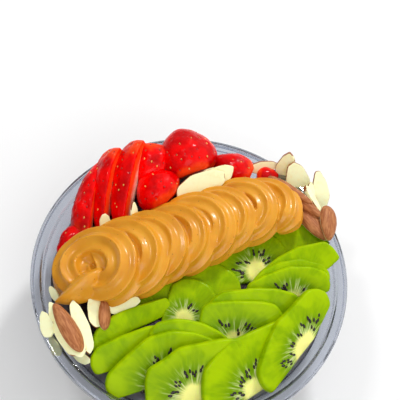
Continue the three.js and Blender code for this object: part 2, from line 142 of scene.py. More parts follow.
class StageSettings(bpy.types.PropertyGroup):
    """The floor, the lights and the camera."""

    floor: colour_property("Floor", "Colour of the floor", "#F6F6F6")
    key: FloatProperty(name="Key light", description="Power of the key light", unit="POWER", default=2.6)
    sky: FloatProperty(name="Surround", description="Strength of the light all round", default=0.56)


# ---- meshes ----


def pose(at, along, facing):
    """A piece's place: its length goes along one direction and its shown face looks towards another."""
    y = Vector(along).normalized()
    x = y.cross(Vector(facing)).normalized()
    z = x.cross(y)
    return np.array([x, y, z]), np.array(at)


def placed(points, place):
    """Points of a piece's own frame, moved to its place."""
    axes, at = place
    return points @ axes + at


def finish_mesh(name, points, faces, look, attributes=None):
    """A smooth mesh object, from points in millimetres, that moves with the bowl."""
    mesh = bpy.data.meshes.new(name)
    mesh.from_pydata((np.asarray(points) * MM).tolist(), [], faces)
    mesh.shade_smooth()
    for key, values in (attributes or {}).items():
        kind, field = ("FLOAT", "value") if values.ndim == 1 else ("FLOAT_VECTOR", "vector")
        layer = mesh.attributes.new(key, kind, "POINT")
        layer.data.foreach_set(field, values.astype(np.float32).ravel())
    mesh.materials.append(look)
    piece = bpy.data.objects.new(name, mesh)
    bpy.context.scene.collection.objects.link(piece)
    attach(piece, "root")
    return piece


def ring_faces(rings, around):
    """Quads between rings that each have the same number of points."""
    faces = []
    for first in range(0, (rings - 1) * around, around):
        for k in range(around):
            a, b = first + k, first + (k + 1) % around
            faces.append((a, b, b + around, a + around))
    return faces


def closed_tube(rings):
    """Points and faces of a solid skinned over rings, with a point in the middle of each end."""
    rings = np.asarray(rings)
    count, around = rings.shape[:2]
    points = np.concatenate([rings.reshape(-1, 3), [rings[0].mean(0)], [rings[-1].mean(0)]])
    faces = ring_faces(count, around)
    start, end = count * around, count * around + 1
    last = (count - 1) * around
    for k in range(around):
        faces.append((start, (k + 1) % around, k))
        faces.append((end, last + k, last + (k + 1) % around))
    return points, faces


def joined(parts):
    """The points and faces of several meshes as one."""
    points, faces, first = [], [], 0
    for part_points, part_faces in parts:
        points.append(part_points)
        faces += [tuple(first + v for v in face) for face in part_faces]
        first += len(part_points)
    return np.concatenate(points), faces


def turned(outline, around):
    """Points and faces of a closed outline of radius and height, turned round the Z axis."""
    turns = np.linspace(0, 2 * np.pi, around, endpoint=False)
    rings = [
        np.column_stack([r * np.cos(turns), r * np.sin(turns), np.full(around, z)])
        for r, z in outline
    ]
    return closed_tube(rings)


def rounded(corners, radius, steps=4):
    """A line of corners with each inner corner rounded off."""
    points = [corners[0]]
    for before, corner, after in zip(corners, corners[1:], corners[2:]):
        before, corner, after = (Vector(p) for p in (before, corner, after))
        cut = min(radius, (corner - before).length * 0.45, (after - corner).length * 0.45)
        start = corner + (before - corner).normalized() * cut
        end = corner + (after - corner).normalized() * cut
        for i in range(steps + 1):
            t = i / steps
            points.append(start.lerp(corner, t).lerp(corner.lerp(end, t), t)[:])
    points.append(corners[-1])
    return points


def even_outline(corners, count, soften):
    """A closed outline with evenly spaced points, its corners worn round in a few passes."""
    corners = np.asarray(corners)
    closed = np.concatenate([corners, corners[:1]])
    run = np.concatenate([[0], np.cumsum(np.linalg.norm(np.diff(closed, axis=0), axis=1))])
    at = np.linspace(0, run[-1], count, endpoint=False)
    line = np.column_stack([np.interp(at, run, closed[:, k]) for k in (0, 1)])
    for _ in range(soften):
        line = (np.roll(line, 1, 0) + 2 * line + np.roll(line, -1, 0)) / 4
    return line


def slab(outline, thick, edge, rings):
    """The rings of a flat piece with rounded edges, from its top's middle round to its bottom's."""
    middle = outline.mean(0)
    reach = outline - middle
    length = np.linalg.norm(reach, axis=1, keepdims=True)
    # Each step is the share of the way out, how far the edge's rounding draws it in, and its height.
    steps = [(share, edge, thick) for share in np.linspace(0, 1, rings + 1)[1:]]
    rounding = np.radians([22, 45, 68, 90])
    for turn in rounding:
        steps.append((1, edge * (1 - math.sin(turn)), thick - edge * (1 - math.cos(turn))))
    for turn in rounding[::-1]:
        steps.append((1, edge * (1 - math.sin(turn)), edge * (1 - math.cos(turn))))
    steps += [(share, edge, 0) for share in (1, 0.6, 0.2)]
    rows = []
    for share, inset, height in steps:
        flat = middle + reach * share * (1 - inset / length)
        rows.append(np.column_stack([flat, np.full(len(outline), height)]))
    return np.array(rows)


def rough(points, size, seed):
    """Smooth noise at points, for bumps of about that size in millimetres."""
    offset = Vector((seed * 7.3, seed * 3.1, seed * 5.7))
    return np.array([noise.noise(Vector(p) / size + offset) for p in points])


# ---- materials ----

# How a Map Range node eases, and what makes a Mix node mix colours.
SMOOTH = {"interpolation_type": "SMOOTHSTEP"}
COLOURS = {"data_type": "RGBA"}


def add_node(tree, kind, settings=None, inputs=None, output=0):
    """Adds a shader node with its settings and links, and gives one of its outputs."""
    node = tree.nodes.new(kind)
    for key, value in (settings or {}).items():
        setattr(node, key, value)
    for key, value in (inputs or {}).items():
        if isinstance(value, bpy.types.NodeSocket):
            tree.links.new(value, node.inputs[key])
        else:
            node.inputs[key].default_value = value
    return node.outputs[output]


def new_look(name, **sockets):
    """A new material and its Principled shader, with the shader's constant values set."""
    look = bpy.data.materials.new(name)
    look.use_nodes = True
    shader = look.node_tree.nodes["Principled BSDF"]
    for key, value in sockets.items():
        shader.inputs[key.replace("_", " ")].default_value = value
    return look, look.node_tree, shader


def rgba(colour):
    """A colour with full opacity, as a colour socket takes it."""
    return (*colour, 1)


def clear_pet(settings):
    """Thermoformed PET: clear and glossy, a little blue-grey, bright along its bends."""
    look, tree, shader = new_look(
        "clear_pet_thermoformed", Base_Color=rgba(settings.tint), Transmission_Weight=1.0, IOR=1.45,
    )
    where = add_node(tree, "ShaderNodeTexCoord", output="Object")
    # The pull of forming leaves faint waves, some 12 mm long, that bend what shows through.
    waves = add_node(tree, "ShaderNodeTexNoise", {}, {"Vector": where, "Scale": 1 / (12 * MM)})
    bump = add_node(tree, "ShaderNodeBump", {}, {"Height": waves, "Distance": 0.1 * MM})
    tree.links.new(bump, shader.inputs["Normal"])
    # Where it has been held it is a touch duller.
    held = add_node(tree, "ShaderNodeMapRange", SMOOTH, {
        "Value": waves, "From Min": 0.4, "From Max": 0.7, "To Min": 0.03, "To Max": 0.08,
    })
    tree.links.new(held, shader.inputs["Roughness"])
    return look


def frozen_puree(settings):
    """Blended frozen acai: dark where it has thawed, greyer and crystalline where it is icy, with painted
    light making the pale frost by the wall lighter on the right.
    """
    look, tree, shader = new_look(
        "acai_puree_frozen", Roughness=0.42, IOR=1.36, Subsurface_Weight=0.1,
        Subsurface_Scale=2 * MM,
    )
    where = add_node(tree, "ShaderNodeTexCoord", output="Object")
    # Ice crystals about 1.2 mm across, coarser than real ones so that they show, in 9 mm patches.
    crystals = add_node(tree, "ShaderNodeTexNoise", {}, {
        "Vector": where, "Scale": 1 / (1.2 * MM), "Detail": 6, "Roughness": 0.65,
    })
    patches = add_node(tree, "ShaderNodeTexNoise", {}, {"Vector": where, "Scale": 1 / (9 * MM)})
    icy = add_node(tree, "ShaderNodeMapRange", SMOOTH, {
        "Value": patches, "From Min": 0.42, "From Max": 0.62,
    })
    white = add_node(tree, "ShaderNodeMapRange", SMOOTH, {
        "Value": crystals, "From Min": 0.4, "From Max": 0.62,
    })
    frost = add_node(tree, "ShaderNodeMath", {"operation": "MULTIPLY"}, {0: icy, 1: white})
    inside = add_node(tree, "ShaderNodeMix", COLOURS, {
        0: frost, 6: rgba(settings.dark), 7: rgba(settings.frost),
    }, 2)
    # Hoar gathers in the last centimetre before the plastic. Painted light: more of it towards +X makes
    # the right side lighter, as if the stronger light falls there.
    level = add_node(tree, "ShaderNodeVectorMath", {"operation": "MULTIPLY"}, {0: where, 1: (1, 1, 0)})
    radius = add_node(tree, "ShaderNodeVectorMath", {"operation": "LENGTH"}, {0: level}, "Value")
    across = add_node(tree, "ShaderNodeVectorMath", {"operation": "DOT_PRODUCT"}, {
        0: where, 1: (1, 0, 0),
    }, "Value")
    # Painted light: the pale frost's strength climbs from left to right, as the light does.
    thickness = add_node(tree, "ShaderNodeMapRange", {}, {
        "Value": across, "From Min": -60 * MM, "From Max": 60 * MM, "To Min": 0.3, "To Max": 0.95,
    })
    hoar_and_painted_light = add_node(tree, "ShaderNodeMapRange", SMOOTH, {
        "Value": radius, "From Min": 63 * MM, "From Max": 73 * MM, "To Max": thickness,
    })
    colour = add_node(tree, "ShaderNodeMix", COLOURS, {0: hoar_and_painted_light, 6: inside, 7: rgba(linear("#B7B4C2"))}, 2)
    tree.links.new(colour, shader.inputs["Base Color"])
    bump = add_node(tree, "ShaderNodeBump", {}, {"Height": crystals, "Distance": 0.5 * MM})
    tree.links.new(bump, shader.inputs["Normal"])
    return look


def kiwi_flesh(settings):
    """Ripe peeled kiwi: wet and translucent, with pale rays round a cream core."""
    look, tree, shader = new_look(
        "kiwi_flesh_sliced", Roughness=0.36, IOR=1.36, Subsurface_Weight=0.3,
        Subsurface_Scale=1.6 * MM, Subsurface_Radius=(0.6, 1.0, 0.1), Coat_Weight=0.04,
        Coat_Roughness=0.12, Specular_IOR_Level=0.08,
    )
    # "slice" holds x and y as shares of the way from the core's middle out to the seeds. A drift over
    # some 5 mm keeps the bounds between core, rays and flesh from being true ellipses.
    share = add_node(tree, "ShaderNodeAttribute", {"attribute_name": "slice"}, output="Vector")
    flat = add_node(tree, "ShaderNodeVectorMath", {"operation": "MULTIPLY"}, {0: share, 1: (1, 1, 0)})
    even = add_node(tree, "ShaderNodeVectorMath", {"operation": "LENGTH"}, {0: flat}, "Value")
    where = add_node(tree, "ShaderNodeTexCoord", output="Object")
    drift = add_node(tree, "ShaderNodeTexNoise", {}, {"Vector": where, "Scale": 1 / (5 * MM)})
    radius = add_node(tree, "ShaderNodeMath", {"operation": "MULTIPLY_ADD"}, {0: drift, 1: 0.4, 2: even})
    # Fibres run out from the core, some 40 of them round it.
    way = add_node(tree, "ShaderNodeVectorMath", {"operation": "NORMALIZE"}, {0: flat})
    out = add_node(tree, "ShaderNodeCombineXYZ", {}, {"Z": radius})
    fan = add_node(tree, "ShaderNodeVectorMath", {"operation": "MULTIPLY_ADD"}, {
        0: way, 1: (8, 8, 8), 2: out,
    })
    fibres = add_node(tree, "ShaderNodeTexNoise", {}, {"Vector": fan, "Scale": 1.7, "Detail": 3})
    outer = add_node(tree, "ShaderNodeMapRange", SMOOTH, {
        "Value": radius, "From Min": 1.2, "From Max": 2.1,
    })
    # Some patches of a slice, 10 mm or so across, are riper and darker.
    patches = add_node(tree, "ShaderNodeTexNoise", {}, {"Vector": where, "Scale": 1 / (10 * MM)})
    riper = add_node(tree, "ShaderNodeMapRange", SMOOTH, {
        "Value": patches, "From Min": 0.42, "From Max": 0.62,
    })
    rind = add_node(tree, "ShaderNodeMix", COLOURS, {
        0: riper, 6: rgba(settings.outer), 7: rgba(linear("#8AAF00")),
    }, 2)
    flesh = add_node(tree, "ShaderNodeMix", COLOURS, {0: outer, 6: rgba(settings.inner), 7: rind}, 2)
    streaks = add_node(tree, "ShaderNodeMapRange", SMOOTH, {
        "Value": fibres, "From Min": 0.35, "From Max": 0.7, "To Max": 0.35,
    })
    streaked = add_node(tree, "ShaderNodeMix", COLOURS, {
        0: streaks, 6: flesh, 7: rgba(linear("#ABCB00")),
    }, 2)
    pale = add_node(tree, "ShaderNodeMapRange", SMOOTH, {
        "Value": fibres, "From Min": 0.46, "From Max": 0.66,
    })
    fading = add_node(tree, "ShaderNodeMapRange", SMOOTH, {
        "Value": radius, "From Min": 0.8, "From Max": 1.65, "To Min": 0.9, "To Max": 0,
    })
    rays = add_node(tree, "ShaderNodeMath", {"operation": "MULTIPLY"}, {0: pale, 1: fading})
    rayed = add_node(tree, "ShaderNodeMix", COLOURS, {0: rays, 6: streaked, 7: rgba(settings.ray)}, 2)
    heart = add_node(tree, "ShaderNodeMapRange", SMOOTH, {
        "Value": radius, "From Min": 0.62, "From Max": 0.98, "To Min": 1, "To Max": 0,
    })
    colour = add_node(tree, "ShaderNodeMix", COLOURS, {0: heart, 6: rayed, 7: rgba(settings.core)}, 2)
    tree.links.new(colour, shader.inputs["Base Color"])
    bump = add_node(tree, "ShaderNodeBump", {}, {"Height": fibres, "Distance": 0.25 * MM})
    tree.links.new(bump, shader.inputs["Normal"])
    return look


def kiwi_seed(settings):
    """Kiwi seeds: near black, hard and glossy, a little browner in places."""
    look, tree, shader = new_look("kiwi_seed", Roughness=0.25, IOR=1.5)
    where = add_node(tree, "ShaderNodeTexCoord", output="Object")
    tone = add_node(tree, "ShaderNodeTexNoise", {}, {"Vector": where, "Scale": 1 / (0.8 * MM)})
    colour = add_node(tree, "ShaderNodeMix", COLOURS, {
        0: tone, 6: rgba(settings.seed), 7: rgba(linear("#2B1B12")),
    }, 2)
    tree.links.new(colour, shader.inputs["Base Color"])
    return look


def strawberry_flesh(settings):
    """Cut ripe strawberry: a glossy red skin, orange flesh under it and a pale heart."""
    look, tree, shader = new_look(
        "strawberry_cut", Roughness=0.3, IOR=1.37, Subsurface_Weight=0.25,
        Subsurface_Scale=1.8 * MM, Subsurface_Radius=(1.0, 0.12, 0.05), Coat_Weight=0.28,
        Coat_Roughness=0.02, Specular_IOR_Level=0.05,
    )
    # "depth" is how far a point lies under the whole berry's skin, in millimetres.
    depth = add_node(tree, "ShaderNodeAttribute", {"attribute_name": "depth"}, output="Fac")
    where = add_node(tree, "ShaderNodeTexCoord", output="Object")
    # Fibres some 3 mm apart push the bounds between the colours in and out by up to 5 mm.
    fibres = add_node(tree, "ShaderNodeTexNoise", {}, {
        "Vector": where, "Scale": 1 / (3 * MM), "Detail": 3,
    })
    inside = add_node(tree, "ShaderNodeMath", {"operation": "MULTIPLY_ADD"}, {0: fibres, 1: 5, 2: depth})
    pale = add_node(tree, "ShaderNodeMapRange", SMOOTH, {"Value": inside, "From Min": 8, "From Max": 14})
    cut = add_node(tree, "ShaderNodeMix", COLOURS, {
        0: pale, 6: rgba(settings.flesh), 7: rgba(settings.heart),
    }, 2)
    red = add_node(tree, "ShaderNodeMapRange", SMOOTH, {"Value": inside, "From Min": 3, "From Max": 5.5})
    edged = add_node(tree, "ShaderNodeMix", COLOURS, {0: red, 6: rgba(settings.skin), 7: cut}, 2)
    # The skin is darker red in patches of about 10 mm.
    ripe = add_node(tree, "ShaderNodeTexNoise", {}, {"Vector": where, "Scale": 1 / (10 * MM)})
    ripest = add_node(tree, "ShaderNodeMapRange", SMOOTH, {
        "Value": ripe, "From Min": 0.35, "From Max": 0.7,
    })
    ripe_skin = add_node(tree, "ShaderNodeMix", COLOURS, {
        0: ripest, 6: rgba(settings.skin), 7: rgba(linear("#C60004")),
    }, 2)
    # "along" is the share of the way from the stem end to the tip: a berry ripens last at the stem.
    along = add_node(tree, "ShaderNodeAttribute", {"attribute_name": "along"}, output="Fac")
    ripening = add_node(tree, "ShaderNodeMath", {"operation": "MULTIPLY_ADD"}, {
        0: ripe, 1: 0.5, 2: along,
    })
    unripe = add_node(tree, "ShaderNodeMapRange", SMOOTH, {
        "Value": ripening, "From Min": 0.36, "From Max": 0.52, "To Min": 0.8, "To Max": 0,
    })
    skin = add_node(tree, "ShaderNodeMix", COLOURS, {0: unripe, 6: ripe_skin, 7: rgba(settings.flesh)}, 2)
    under = add_node(tree, "ShaderNodeMapRange", SMOOTH, {
        "Value": depth, "From Min": 0.5, "From Max": 0.9,
    })
    colour = add_node(tree, "ShaderNodeMix", COLOURS, {0: under, 6: skin, 7: edged}, 2)
    tree.links.new(colour, shader.inputs["Base Color"])
    # The wet surface is puckered between the pips, in cells of about 2.4 mm.
    cells = add_node(tree, "ShaderNodeTexNoise", {}, {
        "Vector": where, "Scale": 1 / (2.4 * MM), "Detail": 3,
    })
    bump = add_node(tree, "ShaderNodeBump", {}, {"Height": cells, "Distance": 0.55 * MM})
    tree.links.new(bump, shader.inputs["Normal"])
    return look


def strawberry_pip(settings):
    """Strawberry pips: small and dry, straw yellow, and some still as red as the skin."""
    look, tree, shader = new_look("strawberry_pip", Roughness=0.4, IOR=1.45)
    where = add_node(tree, "ShaderNodeTexCoord", output="Object")
    tone = add_node(tree, "ShaderNodeTexNoise", {}, {"Vector": where, "Scale": 1 / (6 * MM)})
    redder = add_node(tree, "ShaderNodeMapRange", SMOOTH, {
        "Value": tone, "From Min": 0.4, "From Max": 0.5,
    })
    colour = add_node(tree, "ShaderNodeMix", COLOURS, {
        0: redder, 6: rgba(settings.pip), 7: rgba(linear("#B3150A")),
    }, 2)
    tree.links.new(colour, shader.inputs["Base Color"])
    return look


def almond_cut(settings):
    """Sliced dry almond: a matt cream cut face, with a thin brown skin round its edge."""
    look, tree, shader = new_look(
        "almond_sliced", Roughness=0.5, IOR=1.46, Subsurface_Weight=0.2,
        Subsurface_Scale=1.5 * MM, Subsurface_Radius=(0.8, 0.8, 0.5),
    )
    where = add_node(tree, "ShaderNodeTexCoord", output="Object")
    # "rim" is the share of the way out to the skin, and "skinned" how much skin a piece kept.
    rim = add_node(tree, "ShaderNodeAttribute", {"attribute_name": "rim"}, output="Fac")
    kept = add_node(tree, "ShaderNodeAttribute", {"attribute_name": "skinned"}, output="Fac")
    # Skin comes off in strips some 6 mm long.
    torn = add_node(tree, "ShaderNodeTexNoise", {}, {"Vector": where, "Scale": 1 / (6 * MM)})
    left = add_node(tree, "ShaderNodeMath", {"operation": "MULTIPLY_ADD"}, {0: kept, 1: 0.5, 2: torn})
    patch = add_node(tree, "ShaderNodeMapRange", SMOOTH, {
        "Value": left, "From Min": 0.66, "From Max": 0.72,
    })
    edge = add_node(tree, "ShaderNodeMapRange", SMOOTH, {
        "Value": rim, "From Min": 0.965, "From Max": 0.985,
    })
    skin = add_node(tree, "ShaderNodeMath", {"operation": "MULTIPLY"}, {0: edge, 1: patch})
    # The blade drags a faint grain over the cut, of about 2.5 mm.
    grain = add_node(tree, "ShaderNodeTexNoise", {}, {
        "Vector": where, "Scale": 1 / (2.5 * MM), "Detail": 4,
    })
    darker = add_node(tree, "ShaderNodeMapRange", SMOOTH, {
        "Value": grain, "From Min": 0.45, "From Max": 0.8,
    })
    flesh = add_node(tree, "ShaderNodeMix", COLOURS, {
        0: darker, 6: rgba(settings.flesh), 7: rgba(linear("#FFF3B8")),
    }, 2)
    colour = add_node(tree, "ShaderNodeMix", COLOURS, {0: skin, 6: flesh, 7: rgba(settings.skin)}, 2)
    tree.links.new(colour, shader.inputs["Base Color"])
    bump = add_node(tree, "ShaderNodeBump", {}, {"Height": grain, "Distance": 0.08 * MM})
    tree.links.new(bump, shader.inputs["Normal"])
    return look


def almond_skin(settings):
    """Almond skin: dry, brown and finely furrowed along the nut."""
    look, tree, shader = new_look("almond_skin_dry", Roughness=0.6, IOR=1.45)
    # "nut" holds a point's place on the nut in millimetres, with the nut's length along Y.
    place = add_node(tree, "ShaderNodeAttribute", {"attribute_name": "nut"}, output="Vector")
    # Furrows about 0.9 mm apart that run the nut's length.
    drawn = add_node(tree, "ShaderNodeVectorMath", {"operation": "MULTIPLY"}, {0: place, 1: (1, 0.16, 1)})
    furrows = add_node(tree, "ShaderNodeTexNoise", {}, {"Vector": drawn, "Scale": 1 / 0.9, "Detail": 3})
    light = add_node(tree, "ShaderNodeMapRange", SMOOTH, {
        "Value": furrows, "From Min": 0.35, "From Max": 0.68,
    })
    brown = add_node(tree, "ShaderNodeMix", COLOURS, {
        0: light, 6: rgba(settings.skin), 7: rgba(linear("#C27F4C")),
    }, 2)
    # The flat side is cut flesh, and the skin ends 0.1 to 0.35 mm above it.
    height = add_node(tree, "ShaderNodeSeparateXYZ", {}, {"Vector": place}, "Z")
    flat = add_node(tree, "ShaderNodeMapRange", SMOOTH, {
        "Value": height, "From Min": 0.1, "From Max": 0.35, "To Min": 1, "To Max": 0,
    })
    colour = add_node(tree, "ShaderNodeMix", COLOURS, {0: flat, 6: brown, 7: rgba(linear("#F3E3B2"))}, 2)
    tree.links.new(colour, shader.inputs["Base Color"])
    bump = add_node(tree, "ShaderNodeBump", {}, {"Height": furrows, "Distance": 0.35 * MM})
    tree.links.new(bump, shader.inputs["Normal"])
    return look


def nut_butter(settings):
    """Stirred nut butter: smooth and oily, so it has a soft gloss, with a few specks of skin."""
    look, tree, shader = new_look(
        "nut_butter_smooth", Roughness=0.3, IOR=1.47, Subsurface_Weight=0.25,
        Subsurface_Scale=2.5 * MM, Subsurface_Radius=(1.0, 0.5, 0.2), Coat_Weight=0.25,
        Coat_Roughness=0.1, Specular_IOR_Level=0.35,
    )
    where = add_node(tree, "ShaderNodeTexCoord", output="Object")
    # The oil gathers in clouds some 14 mm across.
    cloud = add_node(tree, "ShaderNodeTexNoise", {}, {"Vector": where, "Scale": 1 / (14 * MM)})
    oily = add_node(tree, "ShaderNodeMapRange", SMOOTH, {
        "Value": cloud, "From Min": 0.35, "From Max": 0.7,
    })
    body = add_node(tree, "ShaderNodeMix", COLOURS, {
        0: oily, 6: rgba(settings.body), 7: rgba(settings.shade),
    }, 2)
    # Specks of ground skin, up to 0.9 mm across and 3 to 4 mm apart: coarser than real ones, to show.
    cells = add_node(tree, "ShaderNodeTexVoronoi", {}, {
        "Vector": where, "Scale": 1 / (3.4 * MM),
    }, "Distance")
    specks = add_node(tree, "ShaderNodeMapRange", SMOOTH, {
        "Value": cells, "From Min": 0.07, "From Max": 0.13, "To Min": 0.55, "To Max": 0,
    })
    colour = add_node(tree, "ShaderNodeMix", COLOURS, {0: specks, 6: body, 7: rgba(linear("#7A4318"))}, 2)
    tree.links.new(colour, shader.inputs["Base Color"])
    # The ground nuts leave a faint grain of some 3 mm.
    grain = add_node(tree, "ShaderNodeTexNoise", {}, {
        "Vector": where, "Scale": 1 / (3 * MM), "Detail": 3,
    })
    bump = add_node(tree, "ShaderNodeBump", {}, {"Height": grain, "Distance": 0.12 * MM})
    tree.links.new(bump, shader.inputs["Normal"])
    return look


def matt_floor(settings):
    """Painted board: pale, even and without gloss."""
    return new_look(
        "board_painted_matt", Base_Color=rgba(settings.floor), Roughness=0.9, Specular_IOR_Level=0.1
    )[0]


# ---- bowl and puree ----

# The clear bowl's section, as radii and heights. It stands on a foot ring round a raised base. Its
# side curves out from the heel over the belly to the neck, above which a step takes a lid. The side's
# inner face is the outer one moved in by the wall and lifted a little.
FOOT_RADIUS = 46
FOOT_WIDTH = 3.5
BASE_LIFT = 1.4
FLOOR_TOP = 2.4
HEEL = (FOOT_RADIUS + 3, 1.6)
BELLY = (71, 14)
NECK = (75.5, 49)
STEP_RADIUS = 79.9
FLANGE_THICK = 2
LIP_THICK = 1.2
LIP_DROP = 5.4
INNER_LIFT = 0.6


def side_wall(steps=24):
    """The outside of the rounded side wall, from the heel up to the neck."""
    heel, belly, neck = Vector(HEEL), Vector(BELLY), Vector(NECK)
    return [heel.lerp(belly, t).lerp(belly.lerp(neck, t), t)[:] for t in np.linspace(0, 1, steps)]


def inner_wall(wall, steps=24):
    """The inside of the bowl, from the neck down to the floor's edge."""
    line = [(r - wall, z + INNER_LIFT) for r, z in reversed(side_wall(steps))]
    return line[:-1] + [(line[-1][0], FLOOR_TOP + 0.4)]


def bowl_outline(settings):
    """The bowl's outline, from the middle of its base round to the middle of its floor."""
    rim, top, wall = settings.rim_radius / MM, settings.height / MM, settings.wall / MM
    side, lip = side_wall(), rim - LIP_THICK
    base = [
        (0, BASE_LIFT), (FOOT_RADIUS - FOOT_WIDTH - 1.6, BASE_LIFT), (FOOT_RADIUS - FOOT_WIDTH, 0),
        (FOOT_RADIUS, 0), side[0],
    ]
    edge = [
        NECK, (STEP_RADIUS - 0.5, NECK[1] + 1.6), (STEP_RADIUS, top - FLANGE_THICK),
        (lip, top - FLANGE_THICK), (lip, top - LIP_DROP), (rim, top - LIP_DROP), (rim, top),
        (STEP_RADIUS - wall, top), (STEP_RADIUS - wall - 0.4, NECK[1] + 2.2),
        (NECK[0] - wall, NECK[1] + INNER_LIFT),
    ]
    return rounded(base, 0.8) + side[1:-1] + rounded(edge, 1.1) + inner_wall(wall)[1:] + [(0, FLOOR_TOP)]


class ACAI_OT_bowl(bpy.types.Operator):
    """Builds the clear bowl, with its lip, lid step and foot ring"""

    bl_idname = "acai.bowl"
    bl_label = "Bowl"

    def execute(self, context):
        settings = context.scene.acai_bowl
        points, faces = turned(bowl_outline(settings), around=192)
        piece = finish_mesh("clear_bowl", points, faces, clear_pet(settings))
        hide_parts("bowl_floor", "bowl_wall", "bowl_rim")
        return {"FINISHED"}


# How far out the mound reaches, and how far the puree goes into the plastic, so that no film of
# air shows between them.
PUREE_RADIUS = 74
OVERLAP = 0.3


def puree_top(x, y, settings):
    """The height of the puree: a mound with the lumps and dips that a scoop leaves."""
    share = min(1, math.hypot(x, y) / PUREE_RADIUS)
    lumps = 0.6 * math.sin(x * 0.11 + 1) * math.cos(y * 0.1)
    height = settings.mound / MM * (1 - share**5) + lumps * (1 - share**8)
    crags = noise.noise(Vector((x, y, 0)) / 7) * 1.1 + noise.noise(Vector((x, y, 5)) / 2.2) * 0.45
    return settings.fill / MM + height + crags * min(1, (1 - share) * 6 + 0.35)


class ACAI_OT_puree(bpy.types.Operator):
    """Builds the puree, which fills the bowl and meets its wall without a gap"""

    bl_idname = "acai.puree"
    bl_label = "Puree"

    def execute(self, context):
        settings = context.scene.acai_puree
        wall = context.scene.acai_bowl.wall / MM
        fill = settings.fill / MM
        side = [(r + OVERLAP, z - OVERLAP) for r, z in reversed(inner_wall(wall)) if z < fill]
        edge = side[-1][0]
        top = [(edge * share, fill) for share in np.linspace(1, 0.01, 110)]
        points, faces = turned([(0.01, FLOOR_TOP - OVERLAP)] + side + top, around=256)
        above = points[:, 2] > fill - 0.01
        points[above, 2] = [puree_top(x, y, settings) for x, y, _ in points[above]]
        piece = finish_mesh("frozen_puree", points, faces, frozen_puree(settings))
        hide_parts("acai_puree")
        return {"FINISHED"}


# ---- kiwi ----

